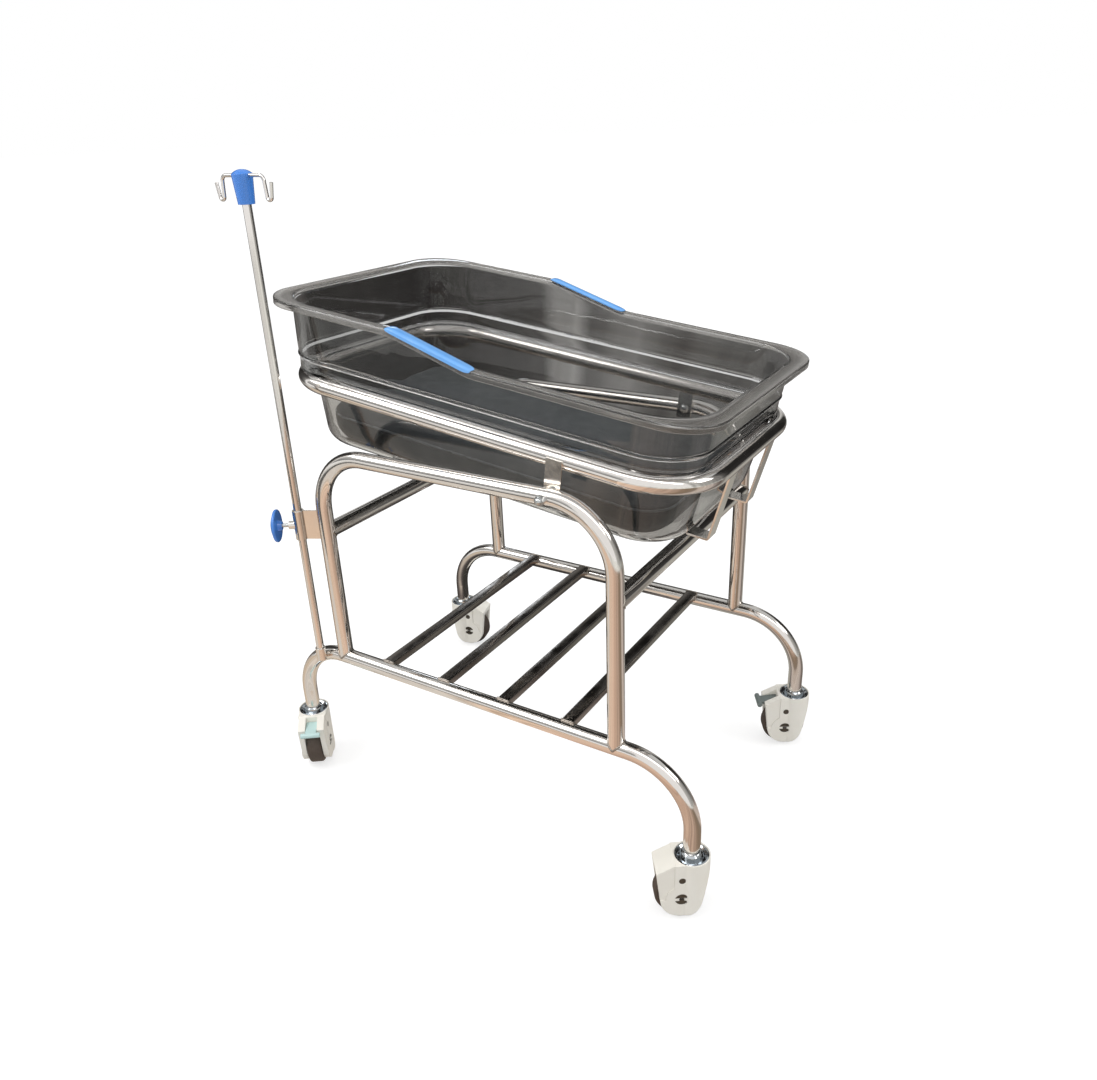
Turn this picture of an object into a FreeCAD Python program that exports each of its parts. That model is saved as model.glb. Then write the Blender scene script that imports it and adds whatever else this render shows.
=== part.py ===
import FreeCAD, Part
import math
import os

# Hospital bassinet: a bent-tube trolley on four swivel casters, a ring frame that tilts
# on two side pivots, a clear moulded tub that lifts out of the ring, and a drip pole.
#
# Millimetres.  +X is the foot end, +Y the far side, +Z up.  The origin is on the floor,
# midway between the four caster stems.

# ---------------------------------------------------------------- driving dimensions

# Tube stock
tube_d = 25.0               # outside diameter of every frame tube
tube_wall = 1.2
saddle_land = 2.0           # a coped tube end stops this far above the other's centreline

# Side frames
frame_width = 460.0         # near side frame to far side frame, centrelines
stem_span = 744.0           # head caster stem to foot caster stem
rail_height = 242.0         # floor to the lower rail's centreline
rail_bend_r = 100.0         # at the centreline
arch_length = 518.0         # between the centrelines of an arch's legs
arch_from_head_stem = 106.0
arch_rise = 366.0           # lower rail to arch top, centrelines
arch_bend_r = 95.0
cross_bar_rise = 232.0      # lower rail to the cross bars, centrelines

# Shelf of flat bars between the lower rails
slat_count = 4
slat_pitch = 114.0
slat_w = 20.0
slat_h = 12.0
slat_wall = 1.0
slat_rise = 8.5             # slat centre above the rail's centreline
slat_shift = -2.0           # the set of slats sits this far towards the head

# Tilting ring frame, drawn level in its own frame and then tilted
ring_tilt = 7.0             # degrees, head end up
ring_before_bend = 13.0     # ring frame's datum to the start of the arch's foot bend
ring_z_above_arch = 45.3
ring_inside_frame = 28.0    # ring tube's centreline inside the side frame's
ring_head = -495.5
ring_foot = 199.5
ring_corner_r = 95.0

# Pivot straps and their bolts
strap_t = 3.0
strap_w = 25.0
strap_bite = 1.0            # the strap is let into the ring tube's outer side by this much
strap_top = 4.0             # above the ring tube's centreline
strap_end = 18.0            # below the pivot
pivot_u = 12.0
pivot_w = -44.0
pivot_bolt_d = 8.0
pivot_head_d = 16.0
pivot_head_h = 5.0
pivot_nut_af = 13.0
pivot_nut_h = 6.5
pivot_nut_sink = 2.0        # the nut's face wraps round the tube by this much
nut_dome_h = 5.0
washer_d = 18.0
turning_gap = 0.3           # between faces that turn past each other
running_fit = 0.05          # radial, for a pin that turns in a hole

# Foot straps that stop the tub sliding down the slope
foot_strap_y = 75.0
foot_strap_w = 25.0
foot_strap_t = 3.0
foot_strap_lean = 8.9       # degrees, leaning in towards the tub
foot_strap_drop = 110.0     # ring centreline to the bend's outer corner
foot_strap_reach = 33.0     # length of the lower leg

# Tub
tub_wall = 4.0
rim_past_ring = 20.0        # the rim's edge outside the ring tube's centreline, at the sides
rim_head = -520.5
rim_foot = 216.0
rim_corner_r = 70.0
rim_top_head = 122.0        # above the ring tube's centreline
rim_top_foot = 93.5
rim_slope_head = -262.0     # where the rim starts to slope down
rim_slope_foot = -125.0     # where it is level again
rim_blend_r = 90.0
rim_skirt = 10.5
rim_edge_t = 3.0
wall_top_inset = 11.5       # upper wall's outside from the rim's edge, at the rim
wall_foot_inset = 17.0      # and at the shoulder
wall_corner_r = 82.0        # the wall's corners, at the rim, are rounder than the rim's own
shoulder_w = 38.0
band_inset = 19.0           # band between the ring and the shoulder
end_overhang = 7.5          # the rim stands out this much more at the head and foot
tub_seat_gap = 0.3          # the ledge lies on the ring tube
basin_depth = 110.0         # ring centreline to the basin's underside
basin_draft = 9.5           # degrees, at the sides and foot
basin_head_draft = 4.5
basin_corner_draft = 0.3    # the corner radius shrinks downwards by this much of the sides
basin_ring_gap = 2.0        # basin wall to the ring tube, at the tube's centreline
basin_bottom_r = 28.0
cut_past = 60.0             # a cutting body runs this far past the tub

# Mattress pad on the basin's floor
pad_thick = 58.0
pad_gap = 3.0               # to the basin's walls
pad_edge_r = 14.0           # round the top edge
pad_corner_extra = 3.0      # its corners are rounder than the basin's by this much

# Grips pushed over the sloping part of the rim
grip_t = 2.5
grip_clear = 0.2
grip_cover = 4.0            # depth of the outer lip
grip_inner = 15.0           # width over the flange, inwards from the rim's edge
grip_margin = 4.0           # past each end of the slope

# Drip pole
pole_d = 12.7
pole_ahead = 39.5           # head-wards of the arch's head leg
pole_outside = 19.5         # outside the side frame's centreline
hub_top_above_rail = 770.0
hub_len = 45.0
hub_top_d = 29.0
hub_low_d = 23.0
hub_dome = 6.0
hook_d = 5.0
hook_reach = 40.5           # pole's centreline to the hook's bend
hook_drop = 31.5
hook_splay = 2.5            # the down leg leans out by this much
hook_width = 7.5
hook_tip_out = 4.0
hook_tip_up = 22.5
hook_bend_r = 3.8
hook_arm_drop = 8.0         # hub top to the hook's arm
foot_cup_d = 17.0
foot_cup_len = 22.0
foot_cup_floor = 3.0
foot_cup_drop = 7.0         # below the lower rail's centreline

# Pole clamp
sleeve_d = 18.5
sleeve_len = 49.0
sleeve_rise = 219.0         # lower rail to the sleeve's lower end
plate_t = 3.0
boss_d = 13.0
boss_out = 17.0             # sleeve centre to the boss's face
boss_rise = 24.0            # sleeve's lower end to the boss's centre
clamp_turn = 214.0          # degrees from +X, the way the clamp screw points
gusset_t = 3.0
gusset_drop = 22.0
screw_d = 6.0
knob_d = 53.0
knob_rim = 5.0              # thickness at the knob's edge
knob_dome = 6.0             # and the dome outside it
knob_out = 34.0             # sleeve centre to the knob's inner face
knob_hub_d = 18.0
knob_hub_h = 6.0

# Casters
wheel_d = 75.0
tread_w = 25.0
tread_t = 7.5
core_hub_d = 20.0
wheel_side_gap = 1.5
axle_d = 8.0
caster_trail = 17.0
caster_h = 100.0            # floor to the top of the moulded collar
collar_d = 54.0
fork_w = 48.0
cheek_r = 31.0
cheek_edge_r = 2.5
cavity_gap = 2.0            # round the wheel
collar_skirt = 16.0         # collar's height at the front
fender_x = -54.0            # rear top corner of the fork
fender_z = 86.0
cup_d = 50.0
cup_depth = 9.0
cup_clear = 0.4
cup_wall = 2.0
boss_rim_d = 31.0
stem_d = 22.0
stem_bend_gap = 2.0         # the plug in the tube ends this far below the rail's bend
kingpin_d = 10.0
kingpin_len = 11.5
tube_end_above_collar = 6.0
cap_d = 20.0
cap_depth = 3.0
cap_bar = 4.0
rivet_d = 10.0
rivet_depth = 2.0
rivet_rise = 35.0           # above the axle
panel_step = 1.2            # the rear panel of each cheek is set in by this much

# Brake pedal
pedal_w = 19.0
pedal_gap = 0.6
pedal_t = 5.0
pedal_pivot_x = -36.0
pedal_pivot_z = 84.5
pedal_pin_d = 4.0
pedal_bar_d = 9.0
pedal_bar_w = 34.0
pedal_bar_x = -63.0
pedal_bar_z = 82.5
pedal_shoe_r = 6.8
pedal_front = -30.5

# Which way each caster points: the angle of its front from +X, and whether it brakes
casters = {
    "head_near": {"turn": 127.0, "brake": True},
    "head_far": {"turn": -165.0, "brake": False},
    "foot_near": {"turn": 35.0, "brake": False},
    "foot_far": {"turn": 30.0, "brake": True},
}

# ------------------------------------------------------------------- derived values

tube_r = tube_d / 2
side_y = frame_width / 2
stem_x = {"head": -stem_span / 2, "foot": stem_span / 2}
leg_x = {"head": -stem_span / 2 + arch_from_head_stem}
leg_x["foot"] = leg_x["head"] + arch_length
tube_end_z = caster_h + tube_end_above_collar
ring_half_w = side_y - ring_inside_frame
rim_half_w = ring_half_w + rim_past_ring
arch_z = rail_height + arch_rise
cross_bar_z = rail_height + cross_bar_rise
ring_x = leg_x["foot"] - arch_bend_r - ring_before_bend
ring_z = arch_z + ring_z_above_arch
stem_len = rail_height - rail_bend_r - stem_bend_gap - tube_end_z

X = FreeCAD.Vector(1, 0, 0)
Y = FreeCAD.Vector(0, 1, 0)
Z = FreeCAD.Vector(0, 0, 1)
V = FreeCAD.Vector

ring_place = FreeCAD.Placement(V(ring_x, 0, ring_z), FreeCAD.Rotation(Y, ring_tilt))
tube_inner_y = side_y - tube_r              # arch tube's face towards the tub
ring_outer_y = ring_half_w + tube_r


# ---------------------------------------------------------------------- small tools

def save(name, shape):
    """Write one sub-part as parts/NAME.step, cleaned of needless seams."""
    shape.removeSplitter().exportStep("parts/" + name + ".step")


def cylinder(centre, axis, d, length):
    """Cylinder that starts at centre and runs along axis."""
    return Part.makeCylinder(d / 2, length, centre, axis)


def bar_across(x, z, d, y0, y1):
    """Round bar along Y from y0 to y1."""
    return cylinder(V(x, y0, z), Y, d, y1 - y0)


def block(x0, x1, y0, y1, z0, z1):
    """Box between two corners."""
    return Part.makeBox(x1 - x0, y1 - y0, z1 - z0, V(x0, y0, z0))


def rounded_path(points, radii, closed=False):
    """Straight runs through the points, with a tangent arc of the given radius at each bend."""
    count = len(points)
    bends = range(count) if closed else range(1, count - 1)
    start = {}
    end = {}
    arcs = {}
    for i in bends:
        here = points[i]
        back = (points[i - 1] - here).normalize()
        ahead = (points[(i + 1) % count] - here).normalize()
        half = back.getAngle(ahead) / 2
        run = radii[i] / math.tan(half)
        middle = (back + ahead).normalize()
        centre = here + middle * (radii[i] / math.sin(half))
        start[i] = here + back * run
        end[i] = here + ahead * run
        arcs[i] = Part.Arc(start[i], centre - middle * radii[i], end[i]).toShape()
    edges = []
    for i in range(count if closed else count - 1):
        j = (i + 1) % count
        a = end.get(i, points[i])
        b = start.get(j, points[j])
        if (b - a).Length > 1e-6:
            edges.append(Part.LineSegment(a, b).toShape())
        if j in arcs:
            edges.append(arcs[j])
    return Part.Wire(edges)


def tube_along(path, d, wall=0.0):
    """Round tube, or a solid rod where wall is 0, swept along a path."""
    edge = path.Edges[0]
    at = edge.firstVertex().Point if edge.Orientation == "Forward" else edge.lastVertex().Point
    way = edge.tangentAt(edge.FirstParameter)
    outer = Part.Wire(Part.makeCircle(d / 2, at, way))
    solid = path.makePipeShell([outer], True, False)
    if wall > 0:
        inner = Part.Wire(Part.makeCircle(d / 2 - wall, at, way))
        solid = solid.cut(path.makePipeShell([inner], True, False))
    return solid


def rounded_rectangle(x0, x1, half_w, r, z):
    """Closed wire of a rectangle with round corners, level at height z."""
    points = [V(x0, -half_w, z), V(x1, -half_w, z), V(x1, half_w, z), V(x0, half_w, z)]
    return rounded_path(points, [r] * 4, closed=True)


def rim_outline(inset, z):
    """The rim's outline drawn in by inset, at height z."""
    return rounded_rectangle(rim_head + inset, rim_foot - inset, rim_half_w - inset,
                             rim_corner_r - inset, z)


def wall_outline(inset, z):
    """Outline of the wall under the rim, drawn in from the rim by inset, at height z."""
    ends = inset + end_overhang
    return rounded_rectangle(rim_head + ends, rim_foot - ends, rim_half_w - inset,
                             wall_corner_r + wall_top_inset - inset, z)


def prism(wire, height):
    """Upright prism on a level closed wire."""
    return Part.Face(wire).extrude(V(0, 0, height))


def dome(centre, axis, d, height):
    """Cap of a sphere, d across, standing on centre and rising along axis."""
    r = (d * d / 4 + height * height) / (2 * height)
    ball = Part.makeSphere(r, V(0, 0, height - r))
    cap = ball.common(Part.makeCylinder(r + 1.0, height))
    cap.Placement = FreeCAD.Placement(centre, FreeCAD.Rotation(Z, axis))
    return cap


def profile_across(points, width):
    """Plate of the given width, centred on Y = 0, from an outline in the XZ plane."""
    wire = Part.makePolygon([V(x, -width / 2, z) for x, z in points + points[:1]])
    return Part.Face(wire).extrude(V(0, width, 0))


def mirrored(shape):
    """The same piece on the far side."""
    return shape.mirror(V(0, 0, 0), Y)


def hexagon(centre, axis, across_flats, length):
    """Hexagonal prism that starts at centre and runs along axis."""
    r = across_flats / 2 / math.cos(math.pi / 6)
    corners = [V(r * math.cos(k * math.pi / 3), r * math.sin(k * math.pi / 3), 0) for k in range(6)]
    body = Part.Face(Part.makePolygon(corners + corners[:1])).extrude(V(0, 0, length))
    body.Placement = FreeCAD.Placement(centre, FreeCAD.Rotation(Z, axis))
    return body


# --------------------------------------------------------------- trolley: side frames

def rail_path(side):
    """Lower rail: down from each end's bend to the caster stems."""
    y = side * side_y
    return rounded_path([V(stem_x["head"], y, tube_end_z), V(stem_x["head"], y, rail_height),
                         V(stem_x["foot"], y, rail_height), V(stem_x["foot"], y, tube_end_z)],
                        [0, rail_bend_r, rail_bend_r, 0])


def side_rail(side):
    return tube_along(rail_path(side), tube_d, tube_wall)


def side_arch(side):
    """Arch that stands on the rail, its legs coped to the rail and drilled for the pivot."""
    y = side * side_y
    foot_z = rail_height + saddle_land
    path = rounded_path([V(leg_x["head"], y, foot_z), V(leg_x["head"], y, arch_z),
                         V(leg_x["foot"], y, arch_z), V(leg_x["foot"], y, foot_z)],
                        [0, arch_bend_r, arch_bend_r, 0])
    arch = tube_along(path, tube_d, tube_wall)
    rail = cylinder(V(stem_x["head"], y, rail_height), X, tube_d, stem_span)
    bolt = bar_across(pivot.x, pivot.z, pivot_bolt_d, y - tube_d, y + tube_d)
    return arch.cut(rail).cut(bolt)


def cross_bar(end):
    """Round bar between the arches' legs, coped to both."""
    reach = side_y - saddle_land
    bar = bar_across(leg_x[end], cross_bar_z, tube_d, -reach, reach)
    bar = bar.cut(bar_across(leg_x[end], cross_bar_z, tube_d - 2 * tube_wall, -reach, reach))
    for side in (-1, 1):
        bar = bar.cut(cylinder(V(leg_x[end], side * side_y, cross_bar_z - tube_d), Z,
                               tube_d, 2 * tube_d))
    return bar


def shelf_slat(index):
    """Rectangular tube between the lower rails, coped to both."""
    x = (index - (slat_count - 1) / 2) * slat_pitch + slat_shift
    z = rail_height + slat_rise
    end_y = side_y - saddle_land
    outer = block(x - slat_w / 2, x + slat_w / 2, -end_y, end_y, z - slat_h / 2, z + slat_h / 2)
    w = slat_w / 2 - slat_wall
    h = slat_h / 2 - slat_wall
    slat = outer.cut(block(x - w, x + w, -end_y, end_y, z - h, z + h))
    for side in (-1, 1):
        slat = slat.cut(cylinder(V(x - slat_w, side * side_y, rail_height), X,
                                 tube_d, 2 * slat_w))
    return slat


# ----------------------------------------------------------------- tilting ring frame

pivot = ring_place.multVec(V(pivot_u, 0, pivot_w))


def ring_tube():
    """Closed loop of tube, in the ring's own level frame."""
    path = rounded_rectangle(ring_head, ring_foot, ring_half_w, ring_corner_r, 0)
    return tube_along(path, tube_d, tube_wall)


def ring_solid():
    path = rounded_rectangle(ring_head, ring_foot, ring_half_w, ring_corner_r, 0)
    return tube_along(path, tube_d)


def pivot_strap():
    """Flat strap welded to the ring's near side, hanging down to the pivot bolt."""
    inner_y = ring_outer_y - strap_bite
    top = block(pivot_u - strap_w / 2, pivot_u + strap_w / 2, -inner_y - strap_t, -inner_y,
                pivot_w - strap_end, strap_top)
    hole = bar_across(pivot_u, pivot_w, pivot_bolt_d + 2 * running_fit, -inner_y - 2 * strap_t,
                      -inner_y + strap_t)
    strap = top.cut(ring_solid()).cut(hole)
    low_edges = [e for e in strap.Edges
                 if abs(e.CenterOfMass.z - (pivot_w - strap_end)) < strap_t
                 and abs(abs(e.tangentAt(e.FirstParameter).y) - 1) < 1e-6]
    return strap.makeFillet(strap_w / 8, low_edges)


def foot_strap():
    """L-shaped strap from the ring's foot, down and in under the basin's edge."""
    lean = math.radians(foot_strap_lean)
    top = V(ring_foot + tube_r * 0.72, 0, -tube_r * 0.5)
    corner_x = top.x - (foot_strap_drop + top.z) * math.tan(lean)
    corner = V(corner_x, 0, -foot_strap_drop)
    tip = V(corner.x - foot_strap_reach, 0, -foot_strap_drop)
    t = foot_strap_t
    shift = t / math.cos(lean)
    lift = t * math.tan(lean)
    outline = [(top.x, top.z), (corner.x, corner.z), (tip.x, tip.z), (tip.x, tip.z + t),
               (corner.x - shift + lift, corner.z + t), (top.x - shift, top.z)]
    strap = profile_across(outline, foot_strap_w)
    bends = [e for e in strap.Edges
             if abs(abs(e.tangentAt(e.FirstParameter).y) - 1) < 1e-6
             and abs(e.CenterOfMass.x - corner.x) < 2 * t
             and e.CenterOfMass.z < corner.z + 2 * t]
    outer = [e for e in bends if e.CenterOfMass.z < corner.z + t / 2]
    inner = [e for e in bends if e.CenterOfMass.z > corner.z + t / 2]
    strap = strap.makeFillet(t * 1.4, outer)
    strap = strap.makeFillet(t * 0.4, [e for e in strap.Edges if any(
        (e.CenterOfMass - other.CenterOfMass).Length < 1e-3 for other in inner)])
    return strap.cut(ring_solid())


def pivot_bolt(side):
    """Domed bolt from inside the strap, out through the arch tube."""
    inner_y = ring_outer_y - strap_bite - turning_gap
    shank_end = side_y + tube_r + pivot_nut_h
    shank = cylinder(V(pivot.x, side * inner_y, pivot.z), Y * side, pivot_bolt_d,
                     shank_end - inner_y)
    head = dome(V(pivot.x, side * inner_y, pivot.z), Y * -side, pivot_head_d, pivot_head_h)
    return shank.fuse(head)


def arch_core(side):
    """The arch's top tube as a plain bar, to cope what seats on it."""
    return cylinder(V(pivot.x - tube_d, side * side_y, arch_z), X, tube_d, 2 * tube_d)


def saddle_washer(side):
    """Washer between the strap and the arch, hollowed to the tube."""
    y0 = ring_outer_y - strap_bite + strap_t + turning_gap
    washer = cylinder(V(pivot.x, side * y0, pivot.z), Y * side, washer_d, side_y - y0)
    washer = washer.cut(arch_core(side))
    return washer.cut(cylinder(V(pivot.x, side * y0, pivot.z), Y * side, pivot_bolt_d,
                               side_y))


def pivot_nut(side):
    """Cap nut on the arch's outer side, its face hollowed to the tube."""
    y0 = side_y + tube_r - pivot_nut_sink
    y1 = side_y + tube_r + pivot_nut_h
    nut = hexagon(V(pivot.x, side * y0, pivot.z), Y * side, pivot_nut_af, y1 - y0)
    nut = nut.cut(arch_core(side))
    nut = nut.cut(bar_across(pivot.x, pivot.z, pivot_bolt_d, -y1, y1))
    return nut.fuse(dome(V(pivot.x, side * y1, pivot.z), Y * side, pivot_nut_af - 1.5,
                         nut_dome_h))


# -------------------------------------------------------------------------------- tub

def rim_line(drop):
    """Side view of the rim, dropped by a distance: level, sloping and level again."""
    return rounded_path([V(rim_head - cut_past, 0, rim_top_head - drop),
                         V(rim_slope_head, 0, rim_top_head - drop),
                         V(rim_slope_foot, 0, rim_top_foot - drop),
                         V(rim_foot + cut_past, 0, rim_top_foot - drop)],
                        [0, rim_blend_r - drop, rim_blend_r + drop, 0])


def below_rim(drop):
    """Everything under the rim line dropped by a distance, as wide as the tub."""
    line = rim_line(drop)
    floor_z = -basin_depth - cut_past
    a = line.Vertexes[0].Point
    b = line.Vertexes[-1].Point
    box = [Part.LineSegment(b, V(b.x, 0, floor_z)).toShape(),
           Part.LineSegment(V(b.x, 0, floor_z), V(a.x, 0, floor_z)).toShape(),
           Part.LineSegment(V(a.x, 0, floor_z), a).toShape()]
    face = Part.Face(Part.Wire(Part.__sortEdges__(line.Edges + box)))
    half = rim_half_w + cut_past
    side = face.extrude(V(0, 2 * half, 0))
    side.translate(V(0, -half, 0))
    return side


def rim_band(top, bottom):
    """Slice of space that follows the rim line, between two drops below it."""
    return below_rim(top).cut(below_rim(bottom))


def tapered(wire_low, wire_high):
    return Part.makeLoft([wire_low, wire_high], True, True)


def basin_wire(offset, z):
    """Basin's outline at height z, drawn in from its outside by offset."""
    lean = -z * math.tan(math.radians(basin_draft))
    head_lean = -z * math.tan(math.radians(basin_head_draft))
    inset = tube_r + basin_ring_gap + offset
    corner_r = ring_corner_r - inset + offset / 2 - lean * basin_corner_draft
    return rounded_rectangle(ring_head + inset + head_lean, ring_foot - inset - lean,
                             ring_half_w - inset - lean, corner_r, z)


def basin(offset, bottom_z, top_z, bottom_r):
    body = tapered(basin_wire(offset, bottom_z), basin_wire(offset, top_z))
    low = [e for e in body.Edges if abs(e.BoundBox.ZMax - bottom_z) < 1e-4]
    return body.makeFillet(bottom_r, low)


def tub():
    """Clear moulded tub: basin, ledge on the ring, band, flared wall and rolled rim."""
    ledge_z = tube_r + tub_seat_gap
    high = rim_top_head + 20.0
    wall_lean = (wall_foot_inset - wall_top_inset) / (rim_top_head - shoulder_w)
    high_inset = wall_top_inset - wall_lean * 20.0
    outer = basin(0, -basin_depth, ledge_z, basin_bottom_r)
    outer = outer.fuse(prism(wall_outline(band_inset, ledge_z), shoulder_w - ledge_z))
    outer = outer.fuse(tapered(wall_outline(wall_foot_inset, shoulder_w),
                               wall_outline(high_inset, high)))
    inner = basin(tub_wall, tub_wall - basin_depth, ledge_z + tub_wall, basin_bottom_r - tub_wall)
    inner = inner.fuse(prism(wall_outline(band_inset + tub_wall, ledge_z + tub_wall),
                             shoulder_w - ledge_z - tub_wall))
    flare = tapered(wall_outline(wall_foot_inset + tub_wall, shoulder_w),
                    wall_outline(high_inset + tub_wall, high))
    inner = inner.fuse(flare)
    tall = high - shoulder_w
    edge = prism(rim_outline(0, shoulder_w), tall)
    flange = edge.common(rim_band(0, tub_wall))
    skirt = edge.cut(prism(rim_outline(rim_edge_t, shoulder_w), tall))
    skirt = skirt.common(rim_band(0, rim_skirt))
    return outer.common(below_rim(0)).fuse(flange).fuse(skirt).cut(inner)


def pad_wire(z):
    """The pad's outline at height z: the basin's inside, drawn in by the gap."""
    offset = tub_wall + pad_gap
    lean = -z * math.tan(math.radians(basin_draft))
    head_lean = -z * math.tan(math.radians(basin_head_draft))
    inset = tube_r + basin_ring_gap + offset
    corner_r = ring_corner_r - inset + offset / 2 - lean * basin_corner_draft + pad_corner_extra
    return rounded_rectangle(ring_head + inset + head_lean, ring_foot - inset - lean,
                             ring_half_w - inset - lean, corner_r, z)


def mattress():
    """Foam pad in a wipe-clean cover, tapered to the basin and lying on its floor."""
    low_z = tub_wall - basin_depth
    high_z = low_z + pad_thick
    pad = tapered(pad_wire(low_z), pad_wire(high_z))
    low = [e for e in pad.Edges if abs(e.BoundBox.ZMax - low_z) < 1e-4]
    pad = pad.makeFillet(basin_bottom_r - tub_wall + pad_gap, low)
    high = [e for e in pad.Edges if abs(e.BoundBox.ZMin - high_z) < 1e-4]
    return pad.makeFillet(pad_edge_r, high)


def rim_grip():
    """Cap pushed over the rim's flange on the near side, along the sloping part."""
    gap = grip_clear
    out = rim_half_w + gap + grip_t
    x0 = rim_slope_head - grip_margin
    x1 = rim_slope_foot + grip_margin
    outside = block(x0, x1, -out, -(rim_half_w - grip_inner), shoulder_w, rim_top_head + 20.0)
    outside = outside.common(rim_band(-grip_t - gap, grip_cover))
    room = block(x0 - 5.0, x1 + 5.0, -(rim_half_w + gap), -(rim_half_w - grip_inner) + 5.0,
                 shoulder_w, rim_top_head + 20.0)
    grip = outside.cut(room.common(rim_band(-gap, grip_cover + 5.0)))
    long_edges = [e for e in grip.Edges
                  if abs(e.CenterOfMass.y + out) < 1e-3 and e.Length > 5.0
                  and e.CenterOfMass.z > rim_top_foot + 1.0
                  and abs(e.tangentAt(e.FirstParameter).y) < 1e-3]
    return grip.makeFillet(grip_t * 0.6, long_edges) if long_edges else grip


# -------------------------------------------------------------------------- drip pole

pole_x = leg_x["head"] - pole_ahead
pole_y = -side_y - pole_outside
hub_top_z = rail_height + hub_top_above_rail
hub_low_z = hub_top_z - hub_len
sleeve_z = rail_height + sleeve_rise
boss_z = sleeve_z + boss_rise
clamp_way = V(math.cos(math.radians(clamp_turn)), math.sin(math.radians(clamp_turn)), 0)
pole_foot_z = rail_height - foot_cup_drop + foot_cup_floor


def foot_cup():
    """Short cup welded to the near rail's outer side, which takes the pole's foot."""
    cup = cylinder(V(pole_x, pole_y, rail_height - foot_cup_drop), Z, foot_cup_d, foot_cup_len)
    bore = cylinder(V(pole_x, pole_y, pole_foot_z), Z, pole_d + 2 * running_fit, foot_cup_len)
    return cup.cut(bore).cut(tube_along(rail_path(-1), tube_d))


def pole_rod():
    """Plain rod from the foot cup up into the hub."""
    top_z = hub_low_z + hub_len / 2
    return cylinder(V(pole_x, pole_y, pole_foot_z), Z, pole_d, top_z - pole_foot_z)


def hooks():
    """One bent wire through the hub: an arm, a drop and an upturned tip on each side."""
    z = hub_top_z - hook_arm_drop
    points = []
    for side in (-1, 1):
        low = hook_reach + hook_splay
        run = [(hook_reach, 0), (low, -hook_drop), (low + hook_width, -hook_drop),
               (low + hook_width + hook_tip_out, hook_tip_up - hook_drop)]
        half = [V(pole_x + side * x, pole_y, z + rise) for x, rise in run]
        points += half[::-1] if side < 0 else half
    r = hook_bend_r
    return tube_along(rounded_path(points, [0, r, r, 2 * r, 2 * r, r, r, 0]), hook_d)


def hook_hub():
    """Tapered moulded hub on the pole's top, with a domed cap."""
    shoulder_z = hub_top_z - hub_dome
    hub = Part.makeCone(hub_low_d / 2, hub_top_d / 2, shoulder_z - hub_low_z,
                        V(pole_x, pole_y, hub_low_z))
    hub = hub.fuse(dome(V(pole_x, pole_y, shoulder_z), Z, hub_top_d, hub_dome))
    hub = hub.cut(cylinder(V(pole_x, pole_y, hub_low_z - 1.0), Z, pole_d, hub_len / 2 + 1.0))
    return hub.cut(hooks())


def clamp_sleeve():
    """Sleeve round the pole, with the screw's boss and the gusset under it."""
    sleeve = cylinder(V(pole_x, pole_y, sleeve_z), Z, sleeve_d, sleeve_len)
    centre = V(pole_x, pole_y, boss_z)
    boss = cylinder(centre, clamp_way, boss_d, boss_out)
    reach = boss_out - 3.0
    low = V(pole_x, pole_y, boss_z - gusset_drop)
    rib = Part.makePolygon([centre, centre + clamp_way * reach, low, centre])
    across = V(-clamp_way.y, clamp_way.x, 0)
    gusset = Part.Face(rib).extrude(across * gusset_t)
    gusset.translate(across * (-gusset_t / 2))
    body = sleeve.fuse(boss).fuse(gusset)
    body = body.cut(cylinder(V(pole_x, pole_y, sleeve_z - 1.0), Z, pole_d + 2 * running_fit,
                             sleeve_len + 2.0))
    return body.cut(cylinder(centre, clamp_way, screw_d + 2 * running_fit, boss_out + 1.0))


def clamp_plate():
    """Flat plate welded between the sleeve and the arch's head leg."""
    length = math.hypot(pole_ahead, pole_outside)
    turn = math.degrees(math.atan2(pole_outside, pole_ahead))
    plate = block(0, length, -plate_t / 2, plate_t / 2, sleeve_z, sleeve_z + sleeve_len)
    plate.Placement = FreeCAD.Placement(V(pole_x, pole_y, 0), FreeCAD.Rotation(Z, turn))
    plate = plate.cut(cylinder(V(pole_x, pole_y, sleeve_z - 1.0), Z, sleeve_d, sleeve_len + 2.0))
    return plate.cut(cylinder(V(leg_x["head"], -side_y, sleeve_z - 1.0), Z, tube_d,
                              sleeve_len + 2.0))


def clamp_screw():
    """Screw that bears on the pole and runs out into the knob."""
    tip = pole_d / 2 + turning_gap
    start = V(pole_x, pole_y, boss_z) + clamp_way * tip
    return cylinder(start, clamp_way, screw_d, knob_out + knob_rim - tip)


def clamp_knob():
    """Round hand knob: a short hub, a thick round-edged rim and a low dome."""
    r = knob_d / 2
    disc = Part.makeCylinder(r, knob_rim)
    disc = disc.makeFillet(knob_rim * 0.45, [e for e in disc.Edges if e.Closed])
    cap = dome(V(0, 0, knob_rim), Z, knob_d - knob_rim, knob_dome)
    hub = Part.makeCone(knob_hub_d / 2 - 2.0, knob_hub_d / 2, knob_hub_h, V(0, 0, -knob_hub_h))
    knob = disc.fuse(cap).fuse(hub)
    knob = knob.cut(Part.makeCylinder(screw_d / 2, knob_hub_h + knob_rim, V(0, 0, -knob_hub_h)))
    knob.Placement = FreeCAD.Placement(V(pole_x, pole_y, boss_z) + clamp_way * knob_out,
                                       FreeCAD.Rotation(Z, clamp_way))
    return knob


# ---------------------------------------------------------------------------- casters
# Each caster is drawn at the origin with its front towards +X and the wheel trailing.

axle_z = wheel_d / 2
axle_x = -caster_trail
cheek_in = tread_w / 2 + wheel_side_gap
cup_floor = caster_h - cup_depth


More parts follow.
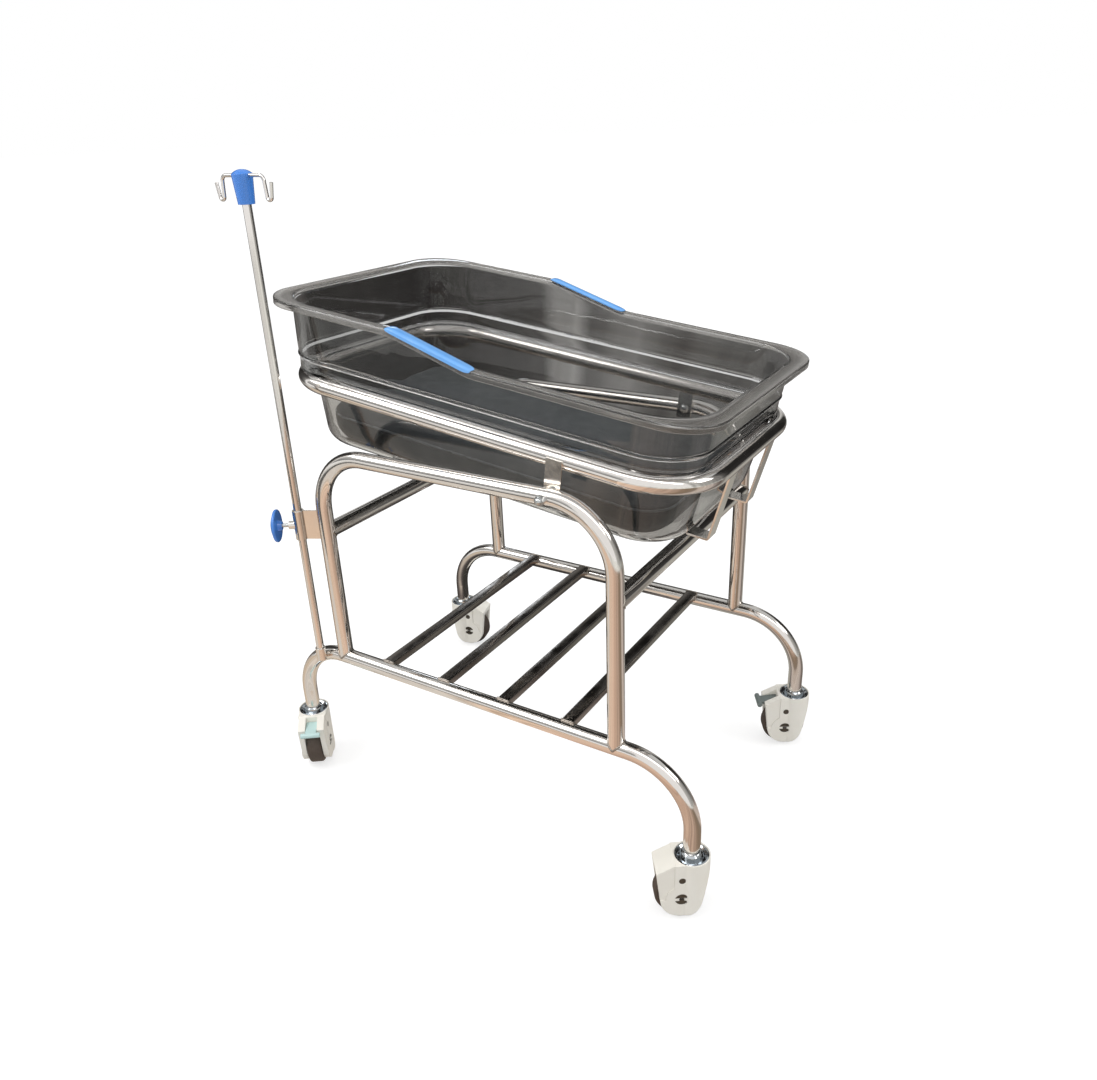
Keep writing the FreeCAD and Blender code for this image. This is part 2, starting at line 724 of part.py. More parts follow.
def caster_stem():
    """Pressed swivel cup, plug in the tube's end above it and kingpin below it."""
    r_cup = cup_d / 2 - cup_clear
    r_boss = boss_rim_d / 2
    bore_r = tube_r - tube_wall - running_fit
    z0 = cup_floor + cup_clear
    points = [V(0, 0, z0 - kingpin_len), V(kingpin_d / 2, 0, z0 - kingpin_len),
              V(kingpin_d / 2, 0, z0), V(r_cup - cup_wall, 0, z0), V(r_cup, 0, z0 + cup_wall),
              V(r_cup, 0, caster_h - 1.0), V(r_cup - cup_wall, 0, caster_h - 0.5),
              V(r_boss + 1.5, 0, z0 + cup_wall + 2.5), V(r_boss, 0, tube_end_z - 2.0),
              V(r_boss - 2.0, 0, tube_end_z), V(bore_r, 0, tube_end_z),
              V(bore_r, 0, tube_end_z + stem_len - 3.0), V(bore_r - 3.0, 0, tube_end_z + stem_len),
              V(0, 0, tube_end_z + stem_len)]
    return Part.Face(Part.makePolygon(points + points[:1])).revolve(V(0, 0, 0), Z, 360)


def fork_outline():
    """Side view of the fork: collar, fender, rear edge, round lobe and waist."""
    r = collar_d / 2
    front_low = V(r, 0, caster_h - collar_skirt)
    rear_top = V(fender_x, 0, fender_z)
    lobe = V(axle_x, 0, axle_z)

    def touch(point, side):
        """Where a line from the point touches the lobe's circle."""
        away = point - lobe
        swing = math.acos(cheek_r / away.Length)
        turn = math.atan2(away.z, away.x) + side * swing
        return lobe + V(math.cos(turn), 0, math.sin(turn)) * cheek_r

    rear_touch = touch(rear_top, 1)
    front_touch = touch(front_low, -1)
    bottom = lobe - V(0, 0, cheek_r)
    edges = [Part.LineSegment(V(-r, 0, caster_h), V(r, 0, caster_h)).toShape(),
             Part.LineSegment(V(r, 0, caster_h), front_low).toShape(),
             Part.LineSegment(front_low, front_touch).toShape(),
             Part.Arc(front_touch, bottom, rear_touch).toShape(),
             Part.LineSegment(rear_touch, rear_top).toShape(),
             Part.LineSegment(rear_top, V(-r, 0, caster_h)).toShape()]
    return Part.Wire(edges)


def caster_fork(brake):
    """Moulded fork: a round collar over two cheeks, hollow for the wheel."""
    side = Part.Face(fork_outline()).extrude(V(0, collar_d, 0))
    side.translate(V(0, -collar_d / 2, 0))
    low = axle_z - cheek_r - 1.0
    plan = Part.makeCylinder(collar_d / 2, caster_h, V(0, 0, low))
    slab = block(fender_x - 2.0, collar_d * 0.2, -fork_w / 2, fork_w / 2, low, caster_h + 1.0)
    rear_edges = [e for e in slab.Edges
                  if abs(e.CenterOfMass.x - fender_x + 2.0) < 1e-3
                  and abs(abs(e.tangentAt(e.FirstParameter).z) - 1) < 1e-6]
    fork = side.common(plan.fuse(slab.makeFillet(6.0, rear_edges)))
    cavity_r = wheel_d / 2 + cavity_gap
    fork = fork.cut(bar_across(axle_x, axle_z, 2 * cavity_r, -cheek_in, cheek_in))
    fork = fork.cut(block(axle_x - 2 * cavity_r, axle_x, -cheek_in, cheek_in, 0,
                          axle_z + cavity_r))
    fork = fork.cut(block(axle_x - cavity_r, axle_x + 2 * cavity_r, -cheek_in, cheek_in, 0,
                          axle_z))
    fork = fork.cut(cylinder(V(0, 0, cup_floor), Z, cup_d, cup_depth + 1.0))
    fork = fork.cut(cylinder(V(0, 0, cup_floor - kingpin_len - 1.0), Z,
                             kingpin_d + 2 * running_fit, kingpin_len + 2.0))
    fork = fork.cut(bar_across(axle_x, axle_z, axle_d, -fork_w / 2, fork_w / 2))
    for way in (-1, 1):
        fork = fork.cut(cap_pocket(way)).cut(rivet(way)).cut(rear_panel(way))
    if brake:
        slot = pedal_w / 2 + pedal_gap
        fork = fork.cut(block(fender_x - 10.0, pedal_front + pedal_gap, -slot, slot,
                              pedal_pivot_z - 18.0, caster_h))
        fork = fork.cut(pedal_pin())
    return fork


def cap_pocket(way):
    """Round pocket at the axle's end, in two halves either side of a bar."""
    y = way * (fork_w / 2 - cap_depth)
    disc = cylinder(V(axle_x, y, axle_z), Y * way, cap_d, cap_depth + 1.0)
    bar = block(axle_x - cap_d, axle_x + cap_d, -fork_w, fork_w, axle_z - cap_bar / 2,
                axle_z + cap_bar / 2)
    return disc.cut(bar)


def rear_panel(way):
    """Shallow set-back of the cheek behind the swivel and above the lobe."""
    y0 = way * (fork_w / 2 - panel_step)
    y1 = way * (fork_w / 2 + 2.0)
    x1 = axle_x - cap_d / 2 - 1.0
    panel = block(fender_x - 4.0, x1, min(y0, y1), max(y0, y1), axle_z, caster_h)
    return panel.cut(bar_across(axle_x, axle_z, 2 * (cheek_r - 7.0), -fork_w, fork_w))


def axle():
    half = fork_w / 2 - cap_depth
    return bar_across(axle_x, axle_z, axle_d, -half, half)


def axle_cap(way):
    """Dark insert of the pocket, flush less a millimetre, in two halves."""
    return cap_pocket(way).common(cylinder(V(axle_x, way * (fork_w / 2 - cap_depth), axle_z),
                                           Y * way, cap_d, cap_depth - 1.0))


def rivet(way):
    """Blind rivet in the cheek, above the axle."""
    y = way * (fork_w / 2 - rivet_depth)
    return cylinder(V(axle_x, y, axle_z + rivet_rise), Y * way, rivet_d, rivet_depth)


def wheel_core():
    """Spoked-disc core: a rim, a web and a hub that runs on the axle."""
    half = tread_w / 2
    r_rim = wheel_d / 2 - tread_t
    rim = bar_across(axle_x, axle_z, 2 * r_rim, -half, half)
    rim = rim.cut(bar_across(axle_x, axle_z, 2 * (r_rim - 4.0), -half, half))
    web = bar_across(axle_x, axle_z, 2 * (r_rim - 4.0), -2.5, 2.5)
    hub = bar_across(axle_x, axle_z, core_hub_d, -cheek_in + turning_gap, cheek_in - turning_gap)
    core = rim.fuse(web).fuse(hub)
    return core.cut(bar_across(axle_x, axle_z, axle_d + 2 * running_fit, -fork_w, fork_w))


def wheel_tread():
    """Tread with a flat running face and round shoulders."""
    half = tread_w / 2
    r = wheel_d / 2
    solid = bar_across(axle_x, axle_z, wheel_d, -half, half)
    rims = [e for e in solid.Edges if e.Closed]
    solid = solid.makeFillet(tread_t * 0.6, rims)
    return solid.cut(bar_across(axle_x, axle_z, 2 * (r - tread_t), -half, half))


def pedal_pin():
    return bar_across(pedal_pivot_x, pedal_pivot_z, pedal_pin_d, -fork_w / 2 + 5.0,
                      fork_w / 2 - 5.0)


def brake_pedal():
    """Rocking pedal: a plate in the fender's slot, a foot bar behind and a shoe below."""
    half = pedal_w / 2
    top_z = pedal_pivot_z + pedal_t - 1.0
    plate = profile_across([(pedal_front, pedal_pivot_z - 3.0), (pedal_front, top_z),
                            (pedal_bar_x, pedal_bar_z + 2.5), (pedal_bar_x, pedal_bar_z - 2.5)],
                           2 * half)
    bar = bar_across(pedal_bar_x, pedal_bar_z, pedal_bar_d, -pedal_bar_w / 2, pedal_bar_w / 2)
    ends = [e for e in bar.Edges if e.Closed]
    bar = bar.makeFillet(1.5, ends)
    shoe = bar_across(pedal_pivot_x - 3.0, pedal_pivot_z - 6.0, 2 * pedal_shoe_r, -half, half)
    pedal = plate.fuse(shoe).fuse(bar)
    return pedal.cut(bar_across(pedal_pivot_x, pedal_pivot_z, pedal_pin_d + 2 * running_fit,
                                -fork_w, fork_w))


def caster_parts(brake):
    """All of one caster's pieces, by name."""
    fasteners = rivet(-1).fuse(rivet(1))
    if brake:
        fasteners = Part.makeCompound([rivet(-1), rivet(1), pedal_pin()])
    parts = {
        "stem": caster_stem(),
        "fork": caster_fork(brake),
        "axle": axle(),
        "axle_caps": Part.makeCompound([axle_cap(-1), axle_cap(1)]),
        "rivets": fasteners,
        "wheel_core": wheel_core(),
        "wheel_tread": wheel_tread(),
    }
    if brake:
        parts["brake_pedal"] = brake_pedal()
    return parts


# ------------------------------------------------------------------------ build it all

os.makedirs("parts", exist_ok=True)

for side, label in ((-1, "near"), (1, "far")):
    save("rail_" + label, side_rail(side))
    save("arch_" + label, side_arch(side))

for end in ("head", "foot"):
    save("cross_bar_" + end, cross_bar(end))

for index in range(slat_count):
    save("shelf_slat_" + str(index + 1), shelf_slat(index))

save("pivot_bolts", Part.makeCompound([pivot_bolt(-1), pivot_bolt(1)]))
save("pivot_washers", Part.makeCompound([saddle_washer(-1), saddle_washer(1)]))
save("pivot_nuts", Part.makeCompound([pivot_nut(-1), pivot_nut(1)]))

ring_parts = {
    "tub_ring": ring_tube(),
    "pivot_strap_near": pivot_strap(),
    "pivot_strap_far": mirrored(pivot_strap()),
    "foot_strap_near": foot_strap().translated(V(0, -foot_strap_y, 0)),
    "foot_strap_far": foot_strap().translated(V(0, foot_strap_y, 0)),
    "tub": tub(),
    "mattress": mattress(),
    "rim_grip_near": rim_grip(),
    "rim_grip_far": mirrored(rim_grip()),
}
for name, shape in ring_parts.items():
    save(name, shape.transformed(ring_place.toMatrix()))

save("pole_foot_cup", foot_cup())
save("pole_rod", pole_rod())
save("pole_hub", hook_hub())
save("pole_hooks", hooks())
save("clamp_sleeve", clamp_sleeve())
save("clamp_plate", clamp_plate())
save("clamp_screw", clamp_screw())
save("clamp_knob", clamp_knob())

for name, setting in casters.items():
    end, side = name.split("_")
    place = FreeCAD.Placement(V(stem_x[end], side_y if side == "far" else -side_y, 0),
                              FreeCAD.Rotation(Z, setting["turn"]))
    for part, shape in caster_parts(setting["brake"]).items():
        save("caster_" + name + "_" + part, shape.transformed(place.toMatrix()))
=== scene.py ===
# %% [markdown]
# # A hospital bassinet, dressed for its picture
# A bassinet is a clear plastic tub that lies in a ring of tube on a trolley of bent stainless
# tube with four casters.  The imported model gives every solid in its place.  This lesson gives
# those solids their finishes, and makes again the pieces whose real form is softer than a plain
# solid: the moulded tub, its mattress and grips, the shelf bars and the beads of weld.
# Lengths are in metres, and a name that ends in _mm is in millimetres.

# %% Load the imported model
import bpy
import bmesh
import math
import numpy as np
from mathutils import Matrix, Vector
from mathutils.bvhtree import BVHTree


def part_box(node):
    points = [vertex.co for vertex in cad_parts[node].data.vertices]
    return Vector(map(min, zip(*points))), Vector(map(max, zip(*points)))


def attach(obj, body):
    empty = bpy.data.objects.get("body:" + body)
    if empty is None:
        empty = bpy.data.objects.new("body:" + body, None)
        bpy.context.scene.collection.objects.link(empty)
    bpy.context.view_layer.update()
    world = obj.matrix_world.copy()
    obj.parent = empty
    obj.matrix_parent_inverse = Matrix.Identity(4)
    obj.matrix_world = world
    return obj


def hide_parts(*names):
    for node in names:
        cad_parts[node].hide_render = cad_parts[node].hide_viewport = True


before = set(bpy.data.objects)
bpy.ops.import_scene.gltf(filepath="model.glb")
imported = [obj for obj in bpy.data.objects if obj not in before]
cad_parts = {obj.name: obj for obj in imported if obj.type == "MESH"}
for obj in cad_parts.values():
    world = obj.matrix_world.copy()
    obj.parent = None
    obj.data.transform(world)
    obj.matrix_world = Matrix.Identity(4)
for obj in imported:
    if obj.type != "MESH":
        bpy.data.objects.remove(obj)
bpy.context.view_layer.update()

# %% [markdown]
# ## The camera
# It stands to the near side of the foot end, a little above the tub's rim, and looks down.
# Three angles turn it: round the upright, down from level, and a slight lean of the picture.

# %% Camera
yaw, pitch, lean = (math.radians(a) for a in (-32.62, 24.71, -2.36))
ahead = Vector((math.sin(yaw) * math.cos(pitch), math.cos(yaw) * math.cos(pitch),
                -math.sin(pitch)))
level = Vector((math.cos(yaw), -math.sin(yaw), 0))
above = level.cross(ahead)
right = level * math.cos(lean) + above * math.sin(lean)
up = above * math.cos(lean) - level * math.sin(lean)

lens = bpy.data.cameras.new("camera")
lens.sensor_fit = "HORIZONTAL"
lens.sensor_width = 36.0
lens.lens = 29.78
lens.clip_start = 0.05
camera = bpy.data.objects.new("camera", lens)
camera.matrix_world = Matrix((right, up, -ahead)).transposed().to_4x4()
camera.location = (0.747, -1.160, 1.054)
bpy.context.scene.collection.objects.link(camera)
bpy.context.scene.camera = camera
bpy.context.scene.view_settings.view_transform = "Standard"
print("camera at", tuple(camera.location))

# %% [markdown]
# ## Short tools
# Colours are written as hex values, as a paint card gives them, and a shader wants them
# linear.  Two functions add nodes, with their settings and what feeds their inputs.  The
# others show a mesh as an object that stays at the origin, with its place in its mesh, and
# make what its modifiers did a part of the mesh.

# %% Colours and nodes
NOISE_LOW, NOISE_HIGH = 0.3, 0.7      # a noise texture's values keep mostly between these


def linear(card):
    """An sRGB hex colour as the linear RGBA that a shader wants."""
    parts = [int(card[i:i + 2], 16) / 255 for i in (1, 3, 5)]
    return tuple(p / 12.92 if p <= 0.04045 else ((p + 0.055) / 1.055) ** 2.4
                 for p in parts) + (1.0,)


def add(tree, kind, inputs=None, **settings):
    """Add a node, set its settings, and feed its inputs with values or other nodes' sockets."""
    made = tree.nodes.new(kind)
    for name, value in settings.items():
        setattr(made, name, value)
    for socket, value in (inputs or {}).items():
        if isinstance(value, bpy.types.NodeSocket):
            tree.links.new(value, made.inputs[socket])
        else:
            made.inputs[socket].default_value = value
    return made


def maths(tree, operation, *values):
    """The result of a Math node on some numbers or other nodes' sockets."""
    return add(tree, "ShaderNodeMath", dict(enumerate(values)), operation=operation).outputs[0]


print("colours and nodes are ready")


# %% Objects from meshes
def show(name, data):
    """An object at the origin that shows a mesh, a curve or a lamp."""
    made = bpy.data.objects.new(name, data)
    bpy.context.scene.collection.objects.link(made)
    return made


def as_object(name, bm):
    """An object at the origin from a bmesh."""
    mesh = bpy.data.meshes.new(name)
    bm.to_mesh(mesh)
    bm.free()
    return show(name, mesh)


def final_mesh(made, crease_deg):
    """A piece's mesh after its modifiers: smooth, with sharp edges where it turns a crease."""
    bpy.context.view_layer.update()
    seen = made.evaluated_get(bpy.context.evaluated_depsgraph_get())
    mesh = bpy.data.meshes.new_from_object(seen)
    mesh.shade_smooth()
    mesh.set_sharp_from_angle(angle=math.radians(crease_deg))
    print(made.name, len(mesh.polygons), "faces")
    return mesh


def settle(made, crease_deg=35.0):
    """Apply a piece's modifiers to its mesh."""
    mesh = final_mesh(made, crease_deg)
    made.modifiers.clear()
    made.data = mesh


print("objects from meshes are ready")

# %% [markdown]
# ## The studio
# A white floor runs to a white surround.  A soft lamp from the upper left and a weaker one
# from the right model the forms, and the surround fills in.  Polished tube only looks like
# polished tube when it has something to mirror, and clear plastic only shows its form
# against something dark, so a photographer lays a board and stands cards round them.  Here
# only mirror reflections see most of the cards.  The board is seen through clear plastic
# too, and three paler patches of floor are seen through it alone.

# %% Floor and surround
floor_reach = 80.0
floor_z = -0.0004                     # just under the wheels, so that no two faces meet
floor_glow = 0.64                     # lifts the lit floor to white
surround_fill = 0.88


def seen_directly(tree):
    """1 for a ray from the camera, or one that left a mirror or went through glass."""
    path = add(tree, "ShaderNodeLightPath").outputs
    straight_or_mirrored = maths(tree, "MAXIMUM", path["Is Camera Ray"], path["Is Glossy Ray"])
    return maths(tree, "MAXIMUM", straight_or_mirrored, path["Is Transmission Ray"])


def sheet_of(name, corners):
    """One flat face through the corners."""
    bm = bmesh.new()
    bm.faces.new([bm.verts.new(c) for c in corners])
    return as_object(name, bm)


floor_finish = bpy.data.materials.new("matt_white_floor")
floor_finish.use_nodes = True
tree = floor_finish.node_tree
tree.nodes.clear()
matt = add(tree, "ShaderNodeBsdfDiffuse", {"Color": linear("#b9b9b9")})
lift = maths(tree, "MULTIPLY", seen_directly(tree), floor_glow)
glow = add(tree, "ShaderNodeEmission", {"Color": linear("#ffffff"), "Strength": lift})
both = add(tree, "ShaderNodeAddShader", {0: matt.outputs[0], 1: glow.outputs[0]})
add(tree, "ShaderNodeOutputMaterial", {"Surface": both.outputs[0]})

floor = sheet_of("floor", [(x * floor_reach, y * floor_reach, floor_z)
                           for x, y in ((-1, -1), (1, -1), (1, 1), (-1, 1))])
floor.data.materials.append(floor_finish)

world = bpy.data.worlds.new("white_surround")
bpy.context.scene.world = world
world.use_nodes = True
tree = world.node_tree
tree.nodes.clear()
fill = add(tree, "ShaderNodeBackground", {"Color": linear("#ffffff"), "Strength": surround_fill})
white = add(tree, "ShaderNodeBackground", {"Color": linear("#ffffff"), "Strength": 1.0})
mixed = add(tree, "ShaderNodeMixShader", {0: seen_directly(tree), 1: fill.outputs[0],
                                          2: white.outputs[0]})
add(tree, "ShaderNodeOutputWorld", {"Surface": mixed.outputs[0]})
print("floor and surround are white")

# %% Lamps
def soft_lamp(name, place, aim, side, watts):
    """A square soft lamp, side metres across, aimed at a point."""
    lamp = bpy.data.lights.new(name, "AREA")
    lamp.size = side
    lamp.energy = watts
    made = show(name, lamp)
    made.location = place
    made.rotation_euler = (Vector(aim) - Vector(place)).to_track_quat("-Z", "Y").to_euler()


soft_lamp("key_lamp", (-1.5, -1.6, 2.6), (0, 0, 0.5), 1.4, 28.0)
soft_lamp("side_lamp", (2.2, 0.6, 2.0), (0, 0, 0.5), 1.0, 12.0)
print("two soft lamps")

# %% Cards for the polished tube to mirror
def card(made, stops, through_plastic=False, mirrored=True, strength=1.0, streaks=0.0):
    """Make a piece a card that glows, coloured by bearing: 0 is +X and 90 is +Y, in degrees.

    Streaks is how far thin rays of lighter and darker card depart from the colour.
    """
    finish = bpy.data.materials.new(made.name)
    finish.use_nodes = True
    tree = finish.node_tree
    tree.nodes.clear()
    place = add(tree, "ShaderNodeTexCoord").outputs["Object"]
    share = add(tree, "ShaderNodeTexGradient", {"Vector": place}, gradient_type="RADIAL")
    ramp = add(tree, "ShaderNodeValToRGB", {"Fac": share.outputs["Fac"]})
    while len(ramp.color_ramp.elements) < len(stops):
        ramp.color_ramp.elements.new(0.5)
    for stop, (bearing, paint) in zip(ramp.color_ramp.elements, stops):
        stop.position = 0.5 + bearing / 360
        stop.color = linear(paint)
    rays = add(tree, "ShaderNodeTexNoise", {"W": share.outputs["Fac"], "Scale": 70.0,
                                            "Detail": 5.0}, noise_dimensions="1D")
    light = add(tree, "ShaderNodeMapRange", {
        "Value": rays.outputs["Fac"], "From Min": NOISE_LOW, "From Max": NOISE_HIGH,
        "To Min": strength * (1 - streaks), "To Max": strength * (1 + streaks)})
    glow = add(tree, "ShaderNodeEmission", {"Color": ramp.outputs["Color"],
                                            "Strength": light.outputs[0]})
    add(tree, "ShaderNodeOutputMaterial", {"Surface": glow.outputs[0]})
    made.data.materials.append(finish)
    made.visible_camera = made.visible_diffuse = made.visible_shadow = False
    made.visible_volume_scatter = False
    made.visible_transmission = through_plastic
    made.visible_glossy = mirrored


def plain(paint):
    """The stops of a card that has one colour all round."""
    return [(-180, paint), (180, paint)]


def curved_card(name, start_deg, end_deg, low, high, away=4.0, facets=48):
    """Upright card bent round the object, from one bearing to another."""
    bm = bmesh.new()
    steps = [math.radians(a) for a in np.linspace(start_deg, end_deg, facets + 1)]
    for a, b in zip(steps, steps[1:]):
        bm.faces.new([bm.verts.new((away * math.cos(t), away * math.sin(t), z))
                      for t, z in ((a, low), (b, low), (b, high), (a, high))])
    return as_object(name, bm)


def disc(name, radius, z):
    """A level round card."""
    bm = bmesh.new()
    bmesh.ops.create_circle(bm, cap_ends=True, segments=96, radius=radius,
                            matrix=Matrix.Translation((0, 0, z)))
    return as_object(name, bm)


def flat_card(name, x0, x1, y0, y1, z, paint, **settings):
    """A level card of one colour."""
    card(sheet_of(name, [(x0, y0, z), (x1, y0, z), (x1, y1, z), (x0, y1, z)]), plain(paint),
         **settings)


print("cards can be flat, round or bent")

# %% Board, mat and cards
# The wide board on the floor: pale on the camera's side, dark beyond the object
card(disc("floor_board", 9.0, 0.0002), [
    (-180, "#8d8c89"), (-165, "#e9e9e6"), (-140, "#e3e3df"), (-120, "#e4e4e2"), (-95, "#f4f4f0"),
    (-60, "#e4e4df"), (-45, "#fbfcf7"), (-5, "#f3f4ee"), (8, "#b5b6b1"), (30, "#c2c3be"),
    (45, "#8a8987"), (66, "#6a6866"), (90, "#7c7a78"), (100, "#5a5856"), (106, "#7b7976"),
    (110, "#55524f"), (114, "#8a8885"), (118, "#5b5957"), (120, "#b3b1ae"), (122, "#504e4c"),
    (128, "#3b3937"), (134, "#2e2c2b"), (141, "#33312f"), (146, "#6f6b68"), (154, "#8f8b88"),
    (164, "#8d8985"), (180, "#8d8c89")], through_plastic=True, streaks=0.3)
# The smaller mat on it: tan on the camera's side, so upright tube shows tan and brown lines
card(disc("floor_mat", 2.2, 0.0004), [
    (-180, "#6e6663"), (-169, "#d6cbbc"), (-149, "#e3d0ba"), (-136, "#e8e2da"), (-120, "#ece4da"),
    (-108, "#efd3ba"), (-89, "#f6d8c1"), (-77, "#ebcbb4"), (-64, "#e0bfa8"), (-50, "#c9ad98"),
    (-37, "#c9ae9b"), (-24, "#9a8572"), (-11, "#918170"), (3, "#ddcfc4"), (18, "#c1b6af"),
    (35, "#695e59"), (50, "#b5b3ab"), (66, "#b5b3ab"), (76, "#6e6663"), (90, "#7b7572"),
    (100, "#4a4846"), (122, "#3c3a38"), (150, "#45433f"), (165, "#4f4b48"), (180, "#6e6663")],
    streaks=0.25)
# A tall band beyond the object, dark but for its pale near end and two pale gaps
card(curved_card("far_band", -12, 192, 0.0, 4.0), [
    (-180, "#474645"), (-168, "#8a8987"), (-12, "#d2d2cf"), (10, "#b0b0ad"), (34, "#8a8987"),
    (50, "#3a3938"), (62, "#242322"), (84, "#383736"), (91, "#e4e4e2"), (98, "#878684"),
    (104, "#2a2928"), (122, "#282726"), (136, "#383736"), (143, "#d0cfcd"), (150, "#585755"),
    (156, "#2a2928"), (180, "#474645")], streaks=0.3)
# Grey bands on the camera's side and grey cards overhead shade level tube in long lines
card(curved_card("near_band_low", 198, 262, 0.95, 1.85), plain("#9b9c9b"))
card(curved_card("near_band_high", 198, 262, 1.85, 2.9), plain("#cacbca"))
flat_card("dark_floor_strip", -3.0, -0.45, -1.9, -1.15, 0.0006, "#676664")
flat_card("grey_overhead_1", -5, 5, 0.1, 4.5, 3.6, "#d2d4d4")
flat_card("grey_overhead_2", -5, 5, -0.5, 0.1, 3.6, "#bcbfbe")
# A bright strip overhead puts the pale line on every plastic edge, and dim cards lift the rim
flat_card("bright_strip", -5, 5, -1.9, -1.2, 3.6, "#ffffff", strength=4.5)
card(curved_card("rim_light", 104, 142, 1.62, 2.2, 3.9), plain("#c4c2bf"), strength=0.7)
card(curved_card("rim_light_head", 135, 146, 1.47, 1.62, 3.9), plain("#c4c2bf"), strength=0.7)
card(curved_card("grip_light", 126, 132, 1.55, 2.05, 3.8), plain("#eef6ff"), strength=3.5)
# Paler floor near the object, which only the clear plastic's thick bends show
only_plastic = {"through_plastic": True, "mirrored": False}
card(disc("grey_floor_ring", 1.35, 0.0006), plain("#c0bdb9"), **only_plastic)
card(disc("pale_floor_spot", 1.0, 0.0008), plain("#f4f1ea"), **only_plastic)
flat_card("pale_floor_patch", -2.4, -1.6, 0.95, 1.55, 0.0010, "#f6f3ed", **only_plastic)
print("a board and a mat on the floor, and thirteen cards")

# %% [markdown]
# ## Metal finishes
# The trolley is stainless tube that was buffed on a wheel until it mirrors.  Buffing leaves
# faint waves and a haze of fine scratches, so the mirror image wobbles and its sharpness
# varies.  A metal keeps its own index of refraction: its colour and roughness do the work.

# %% A metal, with buffing waves, haze and rounded edges
def start_material(name, card, metallic, roughness, **uniform):
    """A Principled material: its numbers that are the same all over sit on the shader itself."""
    made = bpy.data.materials.new(name)
    made.use_nodes = True
    shader = made.node_tree.nodes["Principled BSDF"]
    shader.inputs["Base Color"].default_value = linear(card)
    shader.inputs["Metallic"].default_value = metallic
    shader.inputs["Roughness"].default_value = roughness
    for label, value in uniform.items():
        shader.inputs[label.replace("_", " ")].default_value = value
    return made, made.node_tree, shader


def vary(tree, shader, place, input_name, low, high, per_metre, detail=3.0):
    """Let a number or a colour drift between two values over patches of a given size."""
    noise = add(tree, "ShaderNodeTexNoise", {"Vector": place, "Scale": per_metre, "Detail": detail})
    if isinstance(low, str):
        mix = add(tree, "ShaderNodeMix", {0: noise.outputs["Fac"], 6: linear(low), 7: linear(high)},
                  data_type="RGBA")
        tree.links.new(mix.outputs[2], shader.inputs[input_name])
    else:
        spread = add(tree, "ShaderNodeMapRange", {
            "Value": noise.outputs["Fac"], "From Min": NOISE_LOW, "From Max": NOISE_HIGH,
            "To Min": low, "To Max": high})
        tree.links.new(spread.outputs[0], shader.inputs[input_name])


def relief(tree, shader, place, layers, edge_mm=0.0):
    """Bumps of (patches per metre, height in mm), over edges rounded by edge_mm."""
    normal = None
    if edge_mm:
        normal = add(tree, "ShaderNodeBevel", {"Radius": edge_mm / 1000}, samples=6).outputs[0]
    for per_metre, height_mm in layers:
        noise = add(tree, "ShaderNodeTexNoise", {"Vector": place, "Scale": per_metre,
                                                 "Detail": 2.0})
        feeds = {"Height": noise.outputs["Fac"], "Distance": height_mm / 1000, "Strength": 1.0}
        if normal is not None:
            feeds["Normal"] = normal
        normal = add(tree, "ShaderNodeBump", feeds).outputs[0]
    tree.links.new(normal, shader.inputs["Normal"])


def metal(name, cards, rough, waves, edge_mm):
    """Bare or plated metal that drifts between two colours and two roughnesses."""
    made, tree, shader = start_material(name, cards[0], 1.0, rough[0])
    place = add(tree, "ShaderNodeTexCoord").outputs["Object"]
    vary(tree, shader, place, "Base Color", cards[0], cards[1], 9.0)
    vary(tree, shader, place, "Roughness", rough[0], rough[1], 45.0, 6.0)
    relief(tree, shader, place, waves, edge_mm)
    return made


# Stainless steel tube, bent and buffed: a warm grey mirror with slow waves along it
polished_tube = metal("polished_stainless_tube", ("#e8e4e0", "#d9d4cf"), (0.07, 0.15),
                      [(28.0, 0.10), (700.0, 0.002)], 0.0)
# Stainless strip and plate, buffed after shearing: the same mirror, with eased edges
polished_strip = metal("polished_stainless_strip", ("#e6e2dc", "#d3cdc6"), (0.10, 0.22),
                       [(45.0, 0.16), (900.0, 0.003)], 0.5)
# Stainless flat bar of the shelf, a little brushed; its colour is painted darker, a painted
# reflection of the dark tub and surroundings above it
shelf_bar_steel = metal("stainless_flat_bar_painted_dark_reflection", ("#8f8a85", "#77726d"), (0.10, 0.24),
                        [(35.0, 0.06), (800.0, 0.003)], 0.0)
# Ground weld: the same steel, duller because the bead is blended by hand
ground_weld = metal("ground_stainless_weld", ("#a29b93", "#8b847c"), (0.24, 0.42),
                    [(400.0, 0.03)], 0.0)
# Bright zinc plate on fasteners: cooler and softer than polished stainless
bright_zinc = metal("bright_zinc_plate", ("#c4c6c6", "#aeb1b2"), (0.16, 0.30),
                    [(500.0, 0.01)], 0.3)
# Chromed pressing of the caster's swivel cup: deep mirror with a cool cast
chromed_cup = metal("chromed_pressed_cup", ("#c9ced2", "#aab0b5"), (0.06, 0.12),
                    [(90.0, 0.03)], 0.4)
print("six metals")

# %% [markdown]
# ## Plastic and rubber finishes
# Moulded plastic has a gloss skin with a very fine orange-peel relief, and its colour drifts
# slightly where the melt met.  Nylon for casters is ivory and satin.  Rubber is matt, and the
# dust of the ward's floor lightens it in patches.

# %% Moulded plastics and rubber
def moulding(name, cards, rough, grain, edge_mm, **uniform):
    """Solid plastic or rubber that drifts between two colours and two roughnesses."""
    made, tree, shader = start_material(name, cards[0], 0.0, rough[0], **uniform)
    place = add(tree, "ShaderNodeTexCoord").outputs["Object"]
    vary(tree, shader, place, "Base Color", cards[0], cards[1], 22.0, 4.0)
    vary(tree, shader, place, "Roughness", rough[0], rough[1], 120.0, 4.0)
    relief(tree, shader, place, grain, edge_mm)
    return made


